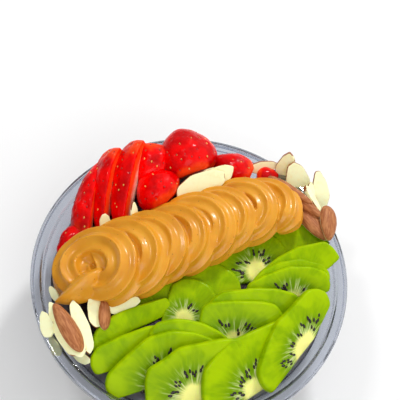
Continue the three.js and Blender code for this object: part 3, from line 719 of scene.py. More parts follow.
# Each slice: the middle of its cut edge, the way to its arc, the way its face looks, its thickness,
# the corners that the knife left round it, and the ring of its seeds: its middle, and how far it
# reaches along the cut edge and towards the arc. The first lies on top.
KIWI_SLICES = [
    ((61.2, -33.2, 52.9), (-0.79, 0.37, 0.5), (0.42, -0.28, 0.86), 4.8,
        [(29.6, 0.1), (32.9, 5.9), (30.4, 12), (25.9, 15.7), (7.5, 18.3), (1.6, 19.8),
         (-11.9, 17.3), (-25.9, 12.8), (-29.4, 6.2), (-29.6, 0), (9.2, -3)],
        (1.6, -0.1, 14.3, 8.1)),
    ((36.4, -63.6, 48.9), (-0.58, 0.67, 0.45), (0.33, -0.31, 0.89), 4.6,
        [(24.8, 0.1), (33.7, 9.5), (38.8, 20.7), (35.3, 26.1), (19, 28.4), (7.3, 29.9),
         (-6.2, 26.9), (-13.4, 23.8), (-18.3, 16.1), (-24.9, 0.1)],
        (6.9, 1.5, 13.2, 11.3)),
    ((10.7, -68.5, 48.7), (-0.35, 0.79, 0.5), (0.2, -0.46, 0.87), 5,
        [(24, 0), (29.7, 8.9), (32, 19.7), (30.1, 25.8), (20.5, 28), (-1.1, 29), (-10.7, 24.8),
         (-18.9, 22.4), (-21.5, 17), (-24.1, 0)],
        (1.1, 3.1, 12.7, 12.7)),
    ((-4.4, -60.1, 48.2), (-0.39, 0.77, 0.5), (0.23, -0.45, 0.87), 5,
        [(29.6, -0.1), (33.8, 7.2), (30, 13.6), (20.5, 20.5), (9.3, 24.7), (-3.4, 24.9),
         (-18.8, 17.7), (-27.8, 12.8), (-30, 8.3), (-29.6, 0)],
        (0.3, -3.2, 13.3, 14.7)),
    ((5.6, -48.9, 48.7), (-0.19, 0.84, 0.5), (0.11, -0.49, 0.87), 4.4,
        [(24.6, 0), (26.4, 7.1), (17.9, 15.3), (9.3, 20.4), (1.7, 22.8), (-6.4, 23.8),
         (-15.1, 22.3), (-18.8, 18.4), (-24.6, 0)],
        (-0.6, -10.2, 9, 9)),
    ((-18.2, -51, 48.4), (-0.39, 0.78, 0.5), (0.23, -0.44, 0.87), 4.4,
        [(24.4, 0), (26.4, 7.5), (19.5, 14.8), (6.5, 16.5), (-8, 15.5), (-20.5, 13.4), (-24.9, 9.5),
         (-25.9, 4.6), (-24.5, 0)],
        (-3.6, -12.7, 9, 9)),
    ((-26.2, -36.6, 49.2), (-0.52, 0.69, 0.5), (0.3, -0.4, 0.87), 4.4,
        [(23.8, 0), (24.7, 4.8), (24.1, 8.6), (9.7, 10.9), (-0.8, 12.2), (-7.8, 11.9), (-16.3, 9.3),
         (-20.9, 5.3), (-23.8, 0)],
        (-4.7, -13.6, 9, 9)),
    ((31.9, -32.3, 50.1), (-0.2, 0.82, 0.53), (0.12, -0.52, 0.85), 4.6,
        [(24.3, 0), (23.6, 9.5), (18.7, 17.8), (10.9, 19.9), (-2.8, 21.1), (-16.3, 21.3),
         (-20.6, 19), (-22.2, 12.9), (-24.2, 0)],
        (-4.7, -0.4, 11.5, 10.2)),
    ((36.6, -23.1, 50.4), (-0.22, 0.82, 0.53), (0.14, -0.51, 0.85), 4.2,
        [(26.5, 0), (27.6, 7.9), (24.3, 14.6), (14.2, 18.2), (2, 19.7), (-15.6, 19.2),
         (-21.7, 15.3), (-25.4, 7.8), (-26.5, 0)],
        (-1.2, -9.9, 9, 9)),
    ((53.1, -5.8, 50.9), (-0.31, 0.82, 0.48), (0.14, -0.47, 0.87), 4.4,
        [(23.7, 0), (25.2, 4.1), (23.9, 10.9), (16.6, 14.9), (4.2, 17.4), (-10.7, 14.9),
         (-19.4, 12.1), (-22.6, 6.2), (-23.7, 0)],
        (2.6, -1.4, 9.8, 9.9)),
    ((54.9, -0.1, 51.9), (-0.34, 0.83, 0.44), (0.1, -0.43, 0.9), 4,
        [(22.1, 0.1), (22.6, 4.9), (20.3, 9.8), (7.9, 15.4), (-3.2, 15.8), (-13.8, 13.5),
         (-20.4, 8.4), (-22.1, 0.1)],
        (0.5, -8.5, 9, 9)),
    ((55.6, 5.4, 52.9), (-0.42, 0.83, 0.37), (0.01, -0.4, 0.92), 4.2,
        [(20.1, 0), (28.3, 4.1), (25.9, 11), (22.6, 15.1), (7.5, 16.3), (-4.6, 13.9), (-14.9, 9.6),
         (-18.9, 5.8), (-20.1, 0)],
        (1.7, -6.4, 9, 9)),
    ((60, 21.3, 49.5), (-0.34, 0.92, 0.22), (-0.05, -0.25, 0.97), 4.4,
        [(17, 0), (17.2, 5.2), (11, 12.9), (2.2, 19.4), (-7.8, 20.8), (-14.5, 16.3), (-17.3, 9.3),
         (-17.1, 0)],
        (-1.5, -10.6, 9, 9)),
    ((4, -28.3, 48.6), (-0.43, 0.89, 0.17), (0.06, -0.17, 0.98), 4.4,
        [(17.3, 0), (18, 9.3), (16.4, 16.6), (11.3, 22), (3.9, 25.2), (-3.4, 23.3), (-7.3, 17.6),
         (-9.3, 12.6), (-12.4, 9.6), (-17.3, 0)],
        (-2.3, 4.1, 7.8, 7.9)),
    ((10.9, -13.2, 48.3), (-0.4, 0.91, 0.14), (0.04, -0.14, 0.99), 4.6,
        [(19.5, 0), (20.1, 6.2), (18.2, 11.3), (9.4, 20.4), (-0.4, 21.6), (-10.6, 17.1),
         (-17.8, 8.6), (-19.5, 0)],
        (-2.6, -10.8, 9, 9)),
    ((35.4, 1.6, 47.7), (-0.29, 0.94, 0.16), (0.06, -0.15, 0.99), 4.6,
        [(23.5, 0), (22.4, 12.2), (18.2, 22.7), (10.2, 29.5), (-0.9, 31.3), (-11.4, 26.6),
         (-20.2, 13.7), (-23.5, 0)],
        (1.8, 6.2, 9.6, 10.3)),
    ((-13.2, -20.9, 48.8), (-0.5, 0.85, 0.17), (0.08, -0.15, 0.98), 4.2,
        [(15.6, 0), (17.5, 7.5), (13.8, 13), (4.9, 13.8), (-4.3, 10.7), (-11, 6.3), (-15.6, 0)],
        (-0.6, -7.8, 9, 9)),
]

# Half the width, length and height of a seed, how far its middle stands off the face, and how far
# off its neighbour lies in x and in y.
KIWI_SEED = np.array([0.64, 1.15, 0.4])
SEED_RISE = 0.05
SEED_SPACING = (1.7, 1.9)

# Where seeds show on a slice's face, by the slice's number.
KIWI_SEEDS = {
    1: [
        (19.7, 2.8), (17.3, 1.7), (15.7, 3.7), (13.7, 5.3), (9.3, 6.5), (3.4, 6.5), (-3.3, 5.9),
        (-6.8, 3.9), (-10.3, 3.4), (-12.2, 4.9), (-13.8, 2.1), (-10.7, 0.7), (12, 0.6)
    ],
    2: [
        (-5.8, 6.9), (-1.6, 5.5), (0.6, 8.2), (3.2, 9.5), (5.8, 10.8), (8.2, 12.8), (11.4, 12.7),
        (14, 15.1), (-11.1, 5.1), (-5.6, 2.8)
    ],
    3: [
        (-10.9, 7.1), (-8.6, 8.5), (-7, 11.2), (-4.6, 12.6), (-0.6, 14.6), (1.4, 16.6), (4.3, 15.6),
        (6.9, 15.7), (9.6, 16.1), (-13.7, 3.8)
    ],
    4: [
        (-1.2, 13.2), (-3.6, 11.9), (5, 14.5), (-12.7, -0.3)
    ],
    8: [
        (-10.7, 9.9), (-7, 9.2), (-2.4, 6.2), (1.9, 9), (2.8, 6.9), (4.9, 6.7), (5.9, 5.1)
    ],
    10: [
        (-4.1, 7.7), (-1.6, 6.2), (0.9, 8.2), (10.6, 2.4)
    ],
    14: [
        (3.1, 9.6), (5.2, 5.7)
    ],
    16: [
        (-9.5, 7.6), (-6.3, 11.8), (-3.2, 11.7), (2, 15.8), (5, 16.6), (7.9, 16.8), (9.9, 12.5),
        (11.6, 9.4), (10.2, 7.9), (7.8, 9.9), (-6.4, 6.1), (-6.8, 3.6)
    ],
}


def peeled_slice(corners, thick, ring, seed):
    """The points, faces and slice coordinates of a peeled half slice."""
    outline = even_outline(corners, count=160, soften=6)
    points, faces = closed_tube(slab(outline, thick, edge=1.5, rings=16))
    level = points * (1, 1, 0)
    points[:, 2] += rough(level, 9, seed) * 0.35 + rough(level, 3, seed) * 0.1
    middle, reach = np.array([*ring[:2], 0]), np.array([*ring[2:], 1])
    return points, faces, (points - middle) / reach


def seed_mesh(places, directions, normals, size):
    """One mesh of many small pointed seeds, each along a direction on its surface."""
    turns = np.linspace(0, 2 * np.pi, 8, endpoint=False)
    rings = []
    for t in (-1, -0.8, -0.35, 0.15, 0.6, 0.9, 1):
        width = max(0.02, math.sqrt(max(0, 1 - t * t)) * (1 - 0.25 * t))
        rings.append(np.column_stack([width * np.cos(turns), np.full(8, t), width * np.sin(turns)]))
    unit, faces = closed_tube(rings)
    seeds = zip(places, directions, normals, size)
    return joined((placed(unit * scale, pose(at, along, up)), faces) for at, along, up, scale in seeds)


def kiwi_seeds():
    """The seeds that show on the slices' faces: place, direction, normal and half sizes."""
    rng = np.random.default_rng(7)
    places, along, up, size = [], [], [], []
    for number, spots in KIWI_SEEDS.items():
        at, way, facing, thick, _, ring = KIWI_SLICES[number - 1]
        place = pose(at, way, facing)
        turns = rng.uniform(0, 2 * math.pi, len(spots))
        # A second seed lies beside each, where it stays clear of the cut edge.
        beside = [
            (x + SEED_SPACING[0] * math.cos(turn), y + SEED_SPACING[1] * math.sin(turn))
            for (x, y), turn in zip(spots, turns)
        ]
        for x, y in spots + [spot for spot in beside if spot[1] > 1.5]:
            # Each points away from the core, square to the ring of the seeds.
            outwards = np.array([(x - ring[0]) / ring[2] ** 2, (y - ring[1]) / ring[3] ** 2, 0])
            places.append(placed(np.array([x, y, thick + SEED_RISE]), place))
            along.append(outwards @ place[0])
            up.append(place[0][2])
            size.append(KIWI_SEED * rng.uniform(0.8, 1.15))
    return places, along, up, size


class ACAI_OT_kiwi(bpy.types.Operator):
    """Builds the peeled half slices of kiwi and the seeds in them"""

    bl_idname = "acai.kiwi"
    bl_label = "Kiwi"

    def execute(self, context):
        settings = context.scene.acai_kiwi
        flesh = kiwi_flesh(settings)
        for i, (at, along, facing, thick, corners, ring) in enumerate(KIWI_SLICES):
            points, faces, coordinates = peeled_slice(corners, thick, ring, i)
            world = placed(points, pose(at, along, facing))
            piece = finish_mesh(f"kiwi_half_slice_{i + 1}", world, faces, flesh, {"slice": coordinates})
            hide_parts(f"kiwi_slice_{i + 1}")
        points, faces = seed_mesh(*kiwi_seeds())
        seeds = finish_mesh("kiwi_seeds", points, faces, kiwi_seed(settings))
        return {"FINISHED"}


# ---- strawberries ----

# Each piece: the core line's stem end, the way to the tip, the way its skin faces, its length and
# width, half the angle that it takes of the berry, how far its cuts stay off the core, and how much
# was cut off with the leaves.
STRAWBERRIES = [
    ((-17.2, 39.1, 57), (-0.82, 0.53, 0.23), (-0.5, 0.1, 0.9), 22, 28, 88, 0, 1),
    ((-5.4, 57.3, 56), (-0.48, 0.78, 0.39), (-0.15, -0.45, 0.9), 31, 35, 88, -2, 3),
    ((-34, 74.4, 64), (-0.08, -0.97, -0.21), (-0.9, -0.05, 0.36), 62, 33, 54, 0, 5),
    ((-46.5, 69.2, 61), (-0.06, -0.98, -0.21), (-0.93, -0.05, 0.34), 57, 31, 54, 0, 5),
    ((-56.9, 8.2, 48), (-0.05, 0.97, 0.23), (-0.9, -0.05, 0.42), 51, 26, 62, 0, 0),
    ((26.9, 64.5, 57), (-0.97, 0.23, 0.12), (0, -0.2, 1), 25, 19, 88, -4, 1),
    ((29.6, 65, 57), (0.97, 0.23, 0), (0, -0.3, 1), 13, 11, 88, -2, 0),
    ((-59.8, 17.3, 49), (-0.62, -0.78, 0.05), (-0.4, 0.3, 0.9), 21, 17, 88, 0, 0),
    ((-30.5, 74.6, 62), (0.01, -0.97, -0.24), (0.1, -0.3, 0.95), 34, 26, 88, -3, 4),
]

# How many sides a berry is made with, and how many steps along it.
BERRY_SIDES = 132
BERRY_STEPS = 90

# Half the width, length and height of a pip, how far apart the pips lie along and round a berry,
# and how far each is sunk into the skin.
PIP = np.array([0.42, 0.66, 0.32])
PIP_SPACING = (4.6, 6.5)
PIP_SINK = 0.35


def berry_radius(u, wide):
    """A whole berry's radius at a share of its length: broad shoulders and a blunt tip."""
    return np.sin(np.pi * np.clip(u, 0, 1) ** 0.72).clip(0) ** 0.56 * wide / 2


def cut_section(radius, half_angle, floor, turns):
    """How far a cut berry's section reaches from a point inside it, and that point's height."""
    inside = (radius + max(floor, -radius)) * 0.5
    way = np.column_stack([np.sin(turns), np.cos(turns)])
    along = inside * way[:, 1]
    reaches = [np.sqrt(along**2 - inside**2 + radius**2) - along]
    for side in (-1, 1):
        normal = np.array([side * math.cos(half_angle), math.sin(half_angle)])
        towards = way @ normal
        room = floor - inside * normal[1]
        reaches.append(np.where(towards < -1e-3, room / np.minimum(towards, -1e-3), 1e3))
    # A high power keeps the three cuts distinct and only wears their corners.
    return sum(np.maximum(r, 1e-3) ** -16.0 for r in reaches) ** (-1 / 16), inside


def pip_places(long, wide, half_angle, floor, crown):
    """The pips over a berry's skin, in staggered rows, as points and normals in its own frame."""
    points, normals = [], []
    rows = int(long / PIP_SPACING[0])
    for row in range(1, rows):
        across = max(3, round(2 * math.pi * float(berry_radius(row / rows, wide)) / PIP_SPACING[1]))
        for k in range(across):
            shift = math.sin(k * 5 + row * 3)
            u = (row + 0.3 * shift) / rows
            radius = float(berry_radius(u, wide))
            slope = float(berry_radius(u + 0.01, wide) - berry_radius(u - 0.01, wide)) / (0.02 * long)
            turn = 2 * math.pi * (k + 0.5 * (row % 2) + 0.3 * shift) / across - math.pi
            x, z = radius * math.sin(turn), radius * math.cos(turn)
            off_cut = z * math.sin(half_angle) - abs(x) * math.cos(half_angle) - floor
            if off_cut > 0.9 and u * long > crown + 1:
                points.append((x, u * long, z))
                normals.append((math.sin(turn), -slope, math.cos(turn)))
    return np.array(points), np.array(normals)


def cut_berry(long, wide, half_angle, floor, crown):
    """Points and faces of a smooth piece of berry, cut along its length and across its crown."""
    turns = np.linspace(-np.pi, np.pi, BERRY_SIDES, endpoint=False)
    rings = []
    for i in range(1, BERRY_STEPS):
        y = long * (1 - math.cos(math.pi * i / BERRY_STEPS)) / 2
        # The rings before the crown's cut lie flat in it, one in another.
        share = min(1, y / crown) if crown else 1
        y = max(y, crown)
        radius = max(0.05, float(berry_radius(y / long, wide)))
        reach, inside = cut_section(radius, half_angle, floor, turns)
        across, up = share * reach * np.sin(turns), inside + share * reach * np.cos(turns)
        rings.append(np.column_stack([across, np.full(BERRY_SIDES, y), up]))
    return closed_tube(rings)


def nearest(points, targets):
    """How far each point is from the nearest target."""
    tree = KDTree(len(targets))
    for i, target in enumerate(targets):
        tree.insert(target, i)
    tree.balance()
    return np.array([tree.find(p)[2] for p in points])


def strawberry_piece(long, wide, wedge, floor, crown, seed):
    """Points, faces, what its colours go by, and the pips of one cut berry, in its own frame."""
    half_angle = math.radians(wedge)
    points, faces = cut_berry(long, wide, half_angle, floor, crown)
    depth = berry_radius(points[:, 1] / long, wide) - np.hypot(points[:, 0], points[:, 2])
    pips, normals = pip_places(long, wide, half_angle, floor, crown)
    # The skin alone is lumpy, and dips round each pip.
    on_skin = np.clip(1 - depth / 0.8, 0, 1)
    dips = 0.62 * np.exp(-(nearest(points, pips) ** 2))
    lumps = rough(points, 8, seed) * 0.7 + rough(points, 3.5, seed) * 0.3
    outwards = points * (1, 0, 1)
    outwards /= np.linalg.norm(outwards, axis=1, keepdims=True) + 1e-9
    points = points + outwards * ((lumps - dips) * on_skin)[:, None]
    sunk = pips - normals / np.linalg.norm(normals, axis=1, keepdims=True) * PIP_SINK
    return points, faces, {"depth": depth, "along": points[:, 1] / long}, sunk, normals


class ACAI_OT_strawberries(bpy.types.Operator):
    """Builds the strawberry pieces and their pips"""

    bl_idname = "acai.strawberries"
    bl_label = "Strawberries"

    def execute(self, context):
        settings = context.scene.acai_strawberry
        look = strawberry_flesh(settings)
        rng = np.random.default_rng(3)
        places, along, up, size = [], [], [], []
        for i, (at, way, facing, *sizes) in enumerate(STRAWBERRIES):
            points, faces, layers, pips, normals = strawberry_piece(*sizes, i)
            place = pose(at, way, facing)
            piece = finish_mesh(f"strawberry_cut_{i + 1}", placed(points, place), faces, look, layers)
            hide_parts(f"strawberry_piece_{i + 1}")
            places += list(placed(pips, place))
            up += list(normals @ place[0])
            along += [place[0][1]] * len(pips)
            size += list(PIP * rng.uniform(0.85, 1.15, (len(pips), 1)))
        points, faces = seed_mesh(places, along, up, size)
        pips = finish_mesh("strawberry_pips", points, faces, strawberry_pip(settings))
        return {"FINISHED"}


# ---- almonds ----

# Each slice: its middle, the way to its point, the way its face looks, its length, width and
# thickness, and how much skin it kept round its edge.
ALMOND_SLICES = [
    ((-1.1, 48.1, 65.5), (0.81, 0.54, 0.24), (0.1, -0.6, 0.8), 30, 15.5, 1.6, 0.5),
    ((5, 53.8, 64.5), (0.76, 0.59, 0.27), (0.1, -0.6, 0.8), 26, 14.5, 1.6, 0.3),
    ((45.7, 71.6, 62), (-0.03, 0.49, 0.87), (-0.1, -0.7, 0.7), 18, 11.5, 2.2, 0.7),
    ((52.9, 65.5, 60), (-0.45, 0.62, 0.64), (0.15, -0.7, 0.7), 22, 13, 2.0, 0.5),
    ((66.3, 60.8, 60), (-0.26, 0.8, 0.55), (0.2, -0.6, 0.75), 22, 9.5, 2.0, 0.9),
    ((62.4, 51, 63), (0.55, -0.83, -0.1), (0.5, 0.3, 0.8), 20, 5, 2.2, 0.4),
    ((33, 70.7, 60), (0.95, 0.33, 0), (0, -0.8, 0.6), 18, 7, 2.0, 1),
    ((-68, -44, 60.5), (-0.46, 0.89, 0.07), (-0.2, -0.3, 0.9), 14, 7, 1.8, 0),
    ((-57.8, -45.7, 61), (-0.66, 0.75, 0.06), (0.1, -0.3, 0.95), 33, 11, 1.8, 0),
    ((-50.9, -41.9, 60.5), (-0.5, 0.86, 0.1), (0.25, -0.2, 0.95), 29, 8, 1.8, 0.3),
    ((-45.5, -31.5, 58.5), (-0.37, 0.92, 0.15), (0.15, -0.3, 0.95), 19, 8.5, 1.8, 0.3),
    ((-31.6, -25.7, 58), (0.88, 0.47, 0), (0.1, -0.5, 0.85), 17, 9, 1.8, 0),
    ((-69, -24.8, 55.5), (-0.62, 0.78, 0.11), (-0.3, -0.3, 0.9), 9, 4, 1.5, 0),
    ((-62, -53.1, 56.5), (-0.61, 0.79, 0.09), (-0.3, -0.3, 0.9), 12, 4.5, 1.5, 0.4),
    ((-48.7, -55.9, 54.5), (-0.92, 0.39, 0.08), (-0.1, -0.5, 0.85), 12, 5, 1.5, 0.2),
    ((-50.3, 19, 61), (-0.13, 0.76, 0.64), (0.3, -0.5, 0.8), 9, 6, 1.5, 0),
    ((-35.4, 25.4, 65), (-0.15, 0.82, 0.55), (0.75, -0.4, 0.5), 11, 5, 1.3, 0.4),
    ((60.8, 58, 62), (-0.24, 0.89, 0.39), (0.3, -0.5, 0.8), 10, 4.5, 1.6, 0.5),
]

# Each cap: the middle of its flat side, then as for a slice.
ALMOND_CAPS = [
    ((-57, -44.9, 62.8), (-0.64, 0.76, 0.09), (0.45, 0.15, 0.9), 29, 10, 4.2),
    ((-40.7, -33.2, 59), (-0.19, 0.98, 0.12), (0.6, -0.2, 0.8), 17, 7, 3),
    ((48.6, 54.4, 65), (0.87, -0.48, 0.07), (-0.3, -0.5, 0.8), 30, 6, 3),
    ((60.1, 46, 63.5), (0.78, -0.61, 0.16), (-0.3, -0.4, 0.85), 19, 6, 2.6),
    ((63.5, 38, 60), (0.63, -0.78, 0.08), (0, 0.1, 0.95), 25, 11, 4),
    ((71.1, 38, 63), (0.07, -1, 0), (0.5, 0, 0.85), 22, 11, 4.5),
]

# How many sides a slice or a cap is made with.
ALMOND_SIDES = 96


def almond_slice(long, wide, thick, seed):
    """Points, faces and the share of the way out of a flat slice, a little warped and chipped."""
    turns = np.linspace(0, 2 * np.pi, ALMOND_SIDES, endpoint=False)
    chips = 1 + 0.035 * np.sin(turns * 3 + seed * 2.1) + 0.02 * np.sin(turns * 8 + seed)
    x = wide / 2 * np.cos(turns) * (1 - 0.24 * np.sin(turns)) * chips
    outline = np.column_stack([x, long / 2 * np.sin(turns) * chips])
    rows = slab(outline, thick, edge=0.3, rings=8)
    points, faces = closed_tube(rows)
    middle = outline.mean(0)
    reach = np.linalg.norm(outline - middle, axis=1)
    out = np.linalg.norm(rows[:, :, :2] - middle, axis=2) / reach
    rim = np.concatenate([out.ravel(), [0, 0]])
    points[:, 2] += (points[:, 1] / long) ** 2 * 1.6 * math.sin(seed * 2.7) - thick / 2
    return points, faces, rim


def almond_cap(long, wide, thick, seed):
    """Points, faces and nut coordinates of an outer cut: a furrowed dome on a flat cut side."""
    turns = np.linspace(0, 2 * np.pi, ALMOND_SIDES, endpoint=False)
    rings = []
    for height in np.linspace(1, 0, 20)[1:]:
        lean = math.acos(height)
        furrow = 1 + 0.025 * np.sin(turns * 13 + seed) * height
        rings.append(np.column_stack([
            wide / 2 * math.sin(lean) * np.cos(turns) * (1 - 0.2 * np.sin(turns)) * furrow,
            long / 2 * math.sin(lean) * np.sin(turns),
            np.full(ALMOND_SIDES, thick * height),
        ]))
    rings += [rings[-1] * (0.6, 0.6, 1), rings[-1] * (0.2, 0.2, 1)]
    points, faces = closed_tube(rings)
    return points, faces, points.copy()


class ACAI_OT_almonds(bpy.types.Operator):
    """Builds the sliced almonds and the outer cuts with brown skin"""

    bl_idname = "acai.almonds"
    bl_label = "Almonds"

    def execute(self, context):
        settings = context.scene.acai_almond
        cut, skin = almond_cut(settings), almond_skin(settings)
        for i, (at, along, facing, long, wide, thick, skinned) in enumerate(ALMOND_SLICES):
            points, faces, rim = almond_slice(long, wide, thick, i)
            marks = {"rim": rim, "skinned": np.full(len(points), skinned)}
            world = placed(points, pose(at, along, facing))
            piece = finish_mesh(f"almond_flake_{i + 1}", world, faces, cut, marks)
            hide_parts(f"almond_slice_{i + 1}")
        for i, (at, along, facing, long, wide, thick) in enumerate(ALMOND_CAPS):
            points, faces, nut = almond_cap(long, wide, thick, i)
            world = placed(points, pose(at, along, facing))
            piece = finish_mesh(f"almond_outer_cut_{i + 1}", world, faces, skin, {"nut": nut})
            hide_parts(f"almond_cap_{i + 1}")
        return {"FINISHED"}


# ---- nut butter ----

# The rope's middle line, from its right end to its left, and its height. One strand goes round it
# in loops, thickens towards the left and closes over a last part of a turn. A core fills the middle,
# a little lower.
ROPE_MIDDLE = [(39, 41), (28, 40.5), (10, 29.5), (-13, 13.5), (-36, -1.5), (-50, -9.5)]
ROPE_HEIGHT = 60
LOOP_RADIUS = 12.5
STRAND_RADIUS = (7.8, 11)
END_TURNS = 0.36
CORE_RADIUS = 11.5
CORE_DROP = 2

# The tail that the rope is pulled off to: x, y, z and radius.
TAIL = [
    (-42, -9, 61, 2), (-47, -14.5, 62.5, 5.8), (-52, -19.5, 62.5, 7), (-59, -26, 61.2, 5),
    (-66.5, -31.5, 60, 0.7),
]


def smooth_line(corners, count):
    """A centripetal spline through corners, as evenly spaced points."""
    corners = np.asarray(corners, float)
    ends = [2 * corners[0] - corners[1], 2 * corners[-1] - corners[-2]]
    knots = np.concatenate([ends[:1], corners, ends[1:]])
    line = []
    for p in (knots[i : i + 4] for i in range(len(corners) - 1)):
        gap = np.linalg.norm(np.diff(p, axis=0), axis=1) ** 0.5
        step = np.diff(p, axis=0) / gap[:, None]
        across = [(p[i + 2] - p[i]) / (gap[i] + gap[i + 1]) for i in (0, 1)]
        starts = (step[0] - across[0] + step[1]) * gap[1]
        stops = (step[1] - across[1] + step[2]) * gap[1]
        for t in np.linspace(0, 1, 60, endpoint=False):
            line.append(
                p[1] * (2 * t**3 - 3 * t**2 + 1) + starts * (t**3 - 2 * t**2 + t)
                + p[2] * (3 * t**2 - 2 * t**3) + stops * (t**3 - t**2)
            )
    line = np.array(line + [corners[-1]])
    run = np.concatenate([[0], np.cumsum(np.linalg.norm(np.diff(line, axis=0), axis=1))])
    at = np.linspace(0, run[-1], count)
    return np.column_stack([np.interp(at, run, line[:, k]) for k in range(line.shape[1])])


def strand_radius(turns, rope_turns, rise):
    """The strand's radius after some turns: it starts thin, and swells and closes after the last."""
    share = min(1, turns / rope_turns)
    end = max(0, turns - rope_turns) / END_TURNS
    radius = np.interp(share, (0, 1), STRAND_RADIUS) * min(1, 0.4 + 5 * turns)
    return radius * (1 + 0.6 * end - 1.3 * end**3) * (1 + 0.08 * rise)


def strand_path(settings, steps=64):
    """The strand's middle line and radius through all its turns, with so many steps a turn."""
    last = 2000
    middle = smooth_line(ROPE_MIDDLE, last + 1)
    path = []
    for turns in np.arange(0, settings.turns + END_TURNS, 1 / steps):
        i = round(min(1, turns / settings.turns) * last)
        right = middle[max(i - 1, 0)] - middle[min(i + 1, last)]
        right /= np.linalg.norm(right)
        turn = 2 * math.pi * (turns - 0.2)
        # Each loop stands highest at its front right, where it laps over the one before.
        rise = math.cos(turn + 0.3)
        radius = LOOP_RADIUS * (1 + 0.06 * math.sin(turns * 2.3))
        out = radius * math.cos(turn) * math.cos(settings.tilt)
        back = radius * math.sin(turn)
        path.append((
            middle[i][0] + right[0] * out - right[1] * back,
            middle[i][1] + right[1] * out + right[0] * back,
            ROPE_HEIGHT + radius * rise * math.sin(settings.tilt),
            strand_radius(turns, settings.turns, rise),
        ))
    return np.array(path)


def swept(path, flutes, depth, around=96, lean=0.0):
    """Rings round a path of x, y, z and radius, with flutes pressed into them by the nozzle."""
    centres, radii = path[:, :3], path[:, 3]
    ahead = np.gradient(centres, axis=0)
    ahead /= np.linalg.norm(ahead, axis=1, keepdims=True)
    turns = np.linspace(0, 2 * np.pi, around, endpoint=False)
    side = np.cross(ahead[0], (0, 0, 1))
    rings = []
    for centre, radius, forward in zip(centres, radii, ahead):
        side = side - forward * side.dot(forward)
        side /= np.linalg.norm(side)
        top = np.cross(side, forward)
        spoke = np.cos(turns)[:, None] * side + np.sin(turns)[:, None] * top
        fluted = radius * (1 - depth * (np.abs(np.cos((turns - lean) * flutes / 2)) - 0.64))
        rings.append(centre + spoke * fluted[:, None])
    return rings


def merged_solid(parts, voxel, passes):
    """Overlapping closed meshes joined into one skin, with its creases softened."""
    points, faces = joined(parts)
    mesh = bpy.data.meshes.new("rough_rope")
    mesh.from_pydata((points * MM).tolist(), [], faces)
    rough_rope = bpy.data.objects.new("rough_rope", mesh)
    bpy.context.scene.collection.objects.link(rough_rope)
    remesh = rough_rope.modifiers.new("join", "REMESH")
    remesh.mode = "VOXEL"
    remesh.voxel_size = voxel * MM
    soften = rough_rope.modifiers.new("soften", "SMOOTH")
    soften.factor = 0.5
    soften.iterations = passes
    result = rough_rope.evaluated_get(bpy.context.evaluated_depsgraph_get()).to_mesh()
    skin = np.empty(len(result.vertices) * 3, np.float32)
    result.vertices.foreach_get("co", skin)
    skin_faces = [tuple(p.vertices) for p in result.polygons]
    bpy.data.objects.remove(rough_rope)
    return skin.reshape(-1, 3) / MM, skin_faces


class ACAI_OT_butter(bpy.types.Operator):
    """Builds the piped rope of nut butter, with its thick end and its pulled tail"""

    bl_idname = "acai.butter"
    bl_label = "Nut butter"

    def execute(self, context):
        settings = context.scene.acai_butter
        strand = swept(strand_path(settings), settings.flutes, depth=0.2)
        line = smooth_line(ROPE_MIDDLE, 60)
        core_path = np.array([(x, y, ROPE_HEIGHT - CORE_DROP, CORE_RADIUS) for x, y in line])
        core = swept(core_path, flutes=1, depth=0, around=24)
        tail = swept(smooth_line(TAIL, 60), flutes=3, depth=0.45, lean=math.radians(30))
        tubes = [closed_tube(rings) for rings in (strand, core, tail)]
        points, faces = merged_solid(tubes, voxel=0.55, passes=2)
        piece = finish_mesh("butter_rope", points, faces, nut_butter(settings))
        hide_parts("nut_butter")
        return {"FINISHED"}


# ---- stage ----

# Half the floor's width, and the camera's place, in metres. The camera's turn is in degrees, and its
# lens and sensor in millimetres.
FLOOR_REACH = 3
CAMERA_PLACE = (0, -0.18670318, 0.44625851)
CAMERA_TURN = (30.375842, -4.31752972, 7.52394981)
CAMERA_LENS = 72
CAMERA_SENSOR = 36

# Each soft light: its place and width in metres, and its power as a share of the key light's. All
# shine at the toppings.
LIGHTS = {
    "key": ((0.16, 0.5, 0.6), 0.1, 1),
    "fill": ((-0.3, 0.1, 0.75), 0.12, 0.35),
    "front": ((0.15, -0.6, 0.5), 0.5, 0.6),
}
LIGHT_AIM = (0, 0, 0.05)


def add_floor(settings):
    """A plain pale floor."""
    mesh = bpy.data.meshes.new("floor")
    reach = FLOOR_REACH
    corners = [(-reach, -reach, 0), (reach, -reach, 0), (reach, reach, 0), (-reach, reach, 0)]
    mesh.from_pydata(corners, [], [(0, 1, 2, 3)])
    mesh.materials.append(matt_floor(settings))
    floor = bpy.data.objects.new("floor", mesh)
    bpy.context.scene.collection.objects.link(floor)


def add_surround(settings):
    """White light from all round, stronger from the right than from the left."""
    world = bpy.data.worlds.new("surround")
    world.use_nodes = True
    tree = world.node_tree
    surround = tree.nodes["Background"]
    surround.inputs["Color"].default_value = (1, 1, 1, 1)
    way = add_node(tree, "ShaderNodeTexCoord", output="Generated")
    right = add_node(tree, "ShaderNodeSeparateXYZ", {}, {"Vector": way}, "X")
    strength = add_node(tree, "ShaderNodeMapRange", {}, {
        "Value": right, "From Min": -1, "To Min": 0.3 * settings.sky, "To Max": 1.7 * settings.sky,
    })
    tree.links.new(strength, surround.inputs["Strength"])
    bpy.context.scene.world = world


def add_light(name, place, size, power):
    """A soft square light."""
    data = bpy.data.lights.new(name, "AREA")
    data.size = size
    data.energy = power
    lamp = bpy.data.objects.new(name, data)
    lamp.location = place
    lamp.rotation_euler = (Vector(LIGHT_AIM) - Vector(place)).to_track_quat("-Z", "Y").to_euler()
    bpy.context.scene.collection.objects.link(lamp)


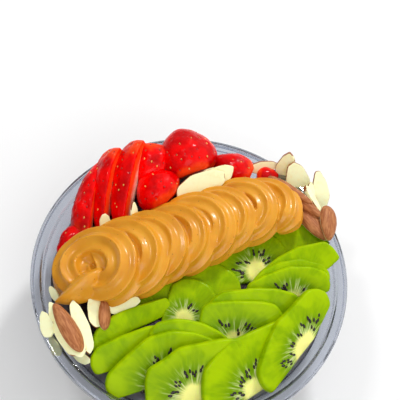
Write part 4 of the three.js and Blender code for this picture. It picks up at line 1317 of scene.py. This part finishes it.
def add_camera():
    """The camera above the eater's side."""
    data = bpy.data.cameras.new("camera")
    data.sensor_width = CAMERA_SENSOR
    data.lens = CAMERA_LENS
    camera = bpy.data.objects.new("camera", data)
    camera.location = CAMERA_PLACE
    camera.rotation_euler = [math.radians(turn) for turn in CAMERA_TURN]
    bpy.context.scene.collection.objects.link(camera)
    bpy.context.scene.camera = camera


class ACAI_OT_stage(bpy.types.Operator):
    """Sets up the pale floor, the soft lights and the camera"""

    bl_idname = "acai.stage"
    bl_label = "Stage"

    def execute(self, context):
        settings = context.scene.acai_stage
        add_floor(settings)
        add_surround(settings)
        for name, (place, size, share) in LIGHTS.items():
            add_light(name, place, size, settings.key * share)
        add_camera()
        context.scene.view_settings.view_transform = "Standard"
        return {"FINISHED"}


# ---- add-on ----


class ACAI_PT_panel(bpy.types.Panel):
    """Lists the steps that build the acai bowl"""

    bl_idname = "ACAI_PT_panel"
    bl_label = "Acai Bowl"
    bl_space_type = "VIEW_3D"
    bl_region_type = "UI"
    bl_category = "Acai Bowl"

    def draw(self, context):
        for operator, key, group in STEPS:
            box = self.layout.box()
            box.operator(operator.bl_idname)
            for name in group.__annotations__:
                box.prop(getattr(context.scene, key), name)


# Each step's operator, the scene property that its settings are kept in, and their group.
STEPS = [
    (ACAI_OT_bowl, "acai_bowl", BowlSettings),
    (ACAI_OT_puree, "acai_puree", PureeSettings),
    (ACAI_OT_kiwi, "acai_kiwi", KiwiSettings),
    (ACAI_OT_strawberries, "acai_strawberry", StrawberrySettings),
    (ACAI_OT_almonds, "acai_almond", AlmondSettings),
    (ACAI_OT_butter, "acai_butter", ButterSettings),
    (ACAI_OT_stage, "acai_stage", StageSettings),
]


def register():
    """Adds the settings, the operators and the panel to Blender."""
    for operator, key, group in STEPS:
        bpy.utils.register_class(group)
        setattr(bpy.types.Scene, key, PointerProperty(type=group))
        bpy.utils.register_class(operator)
    bpy.utils.register_class(ACAI_PT_panel)


def unregister():
    """Takes them out again."""
    bpy.utils.unregister_class(ACAI_PT_panel)
    for operator, key, group in reversed(STEPS):
        bpy.utils.unregister_class(operator)
        delattr(bpy.types.Scene, key)
        bpy.utils.unregister_class(group)


def main():
    """Builds the whole bowl."""
    register()
    bpy.ops.acai.bowl()
    bpy.ops.acai.puree()
    bpy.ops.acai.kiwi()
    bpy.ops.acai.strawberries()
    bpy.ops.acai.almonds()
    bpy.ops.acai.butter()
    bpy.ops.acai.stage()


if __name__ == "__main__":
    main()
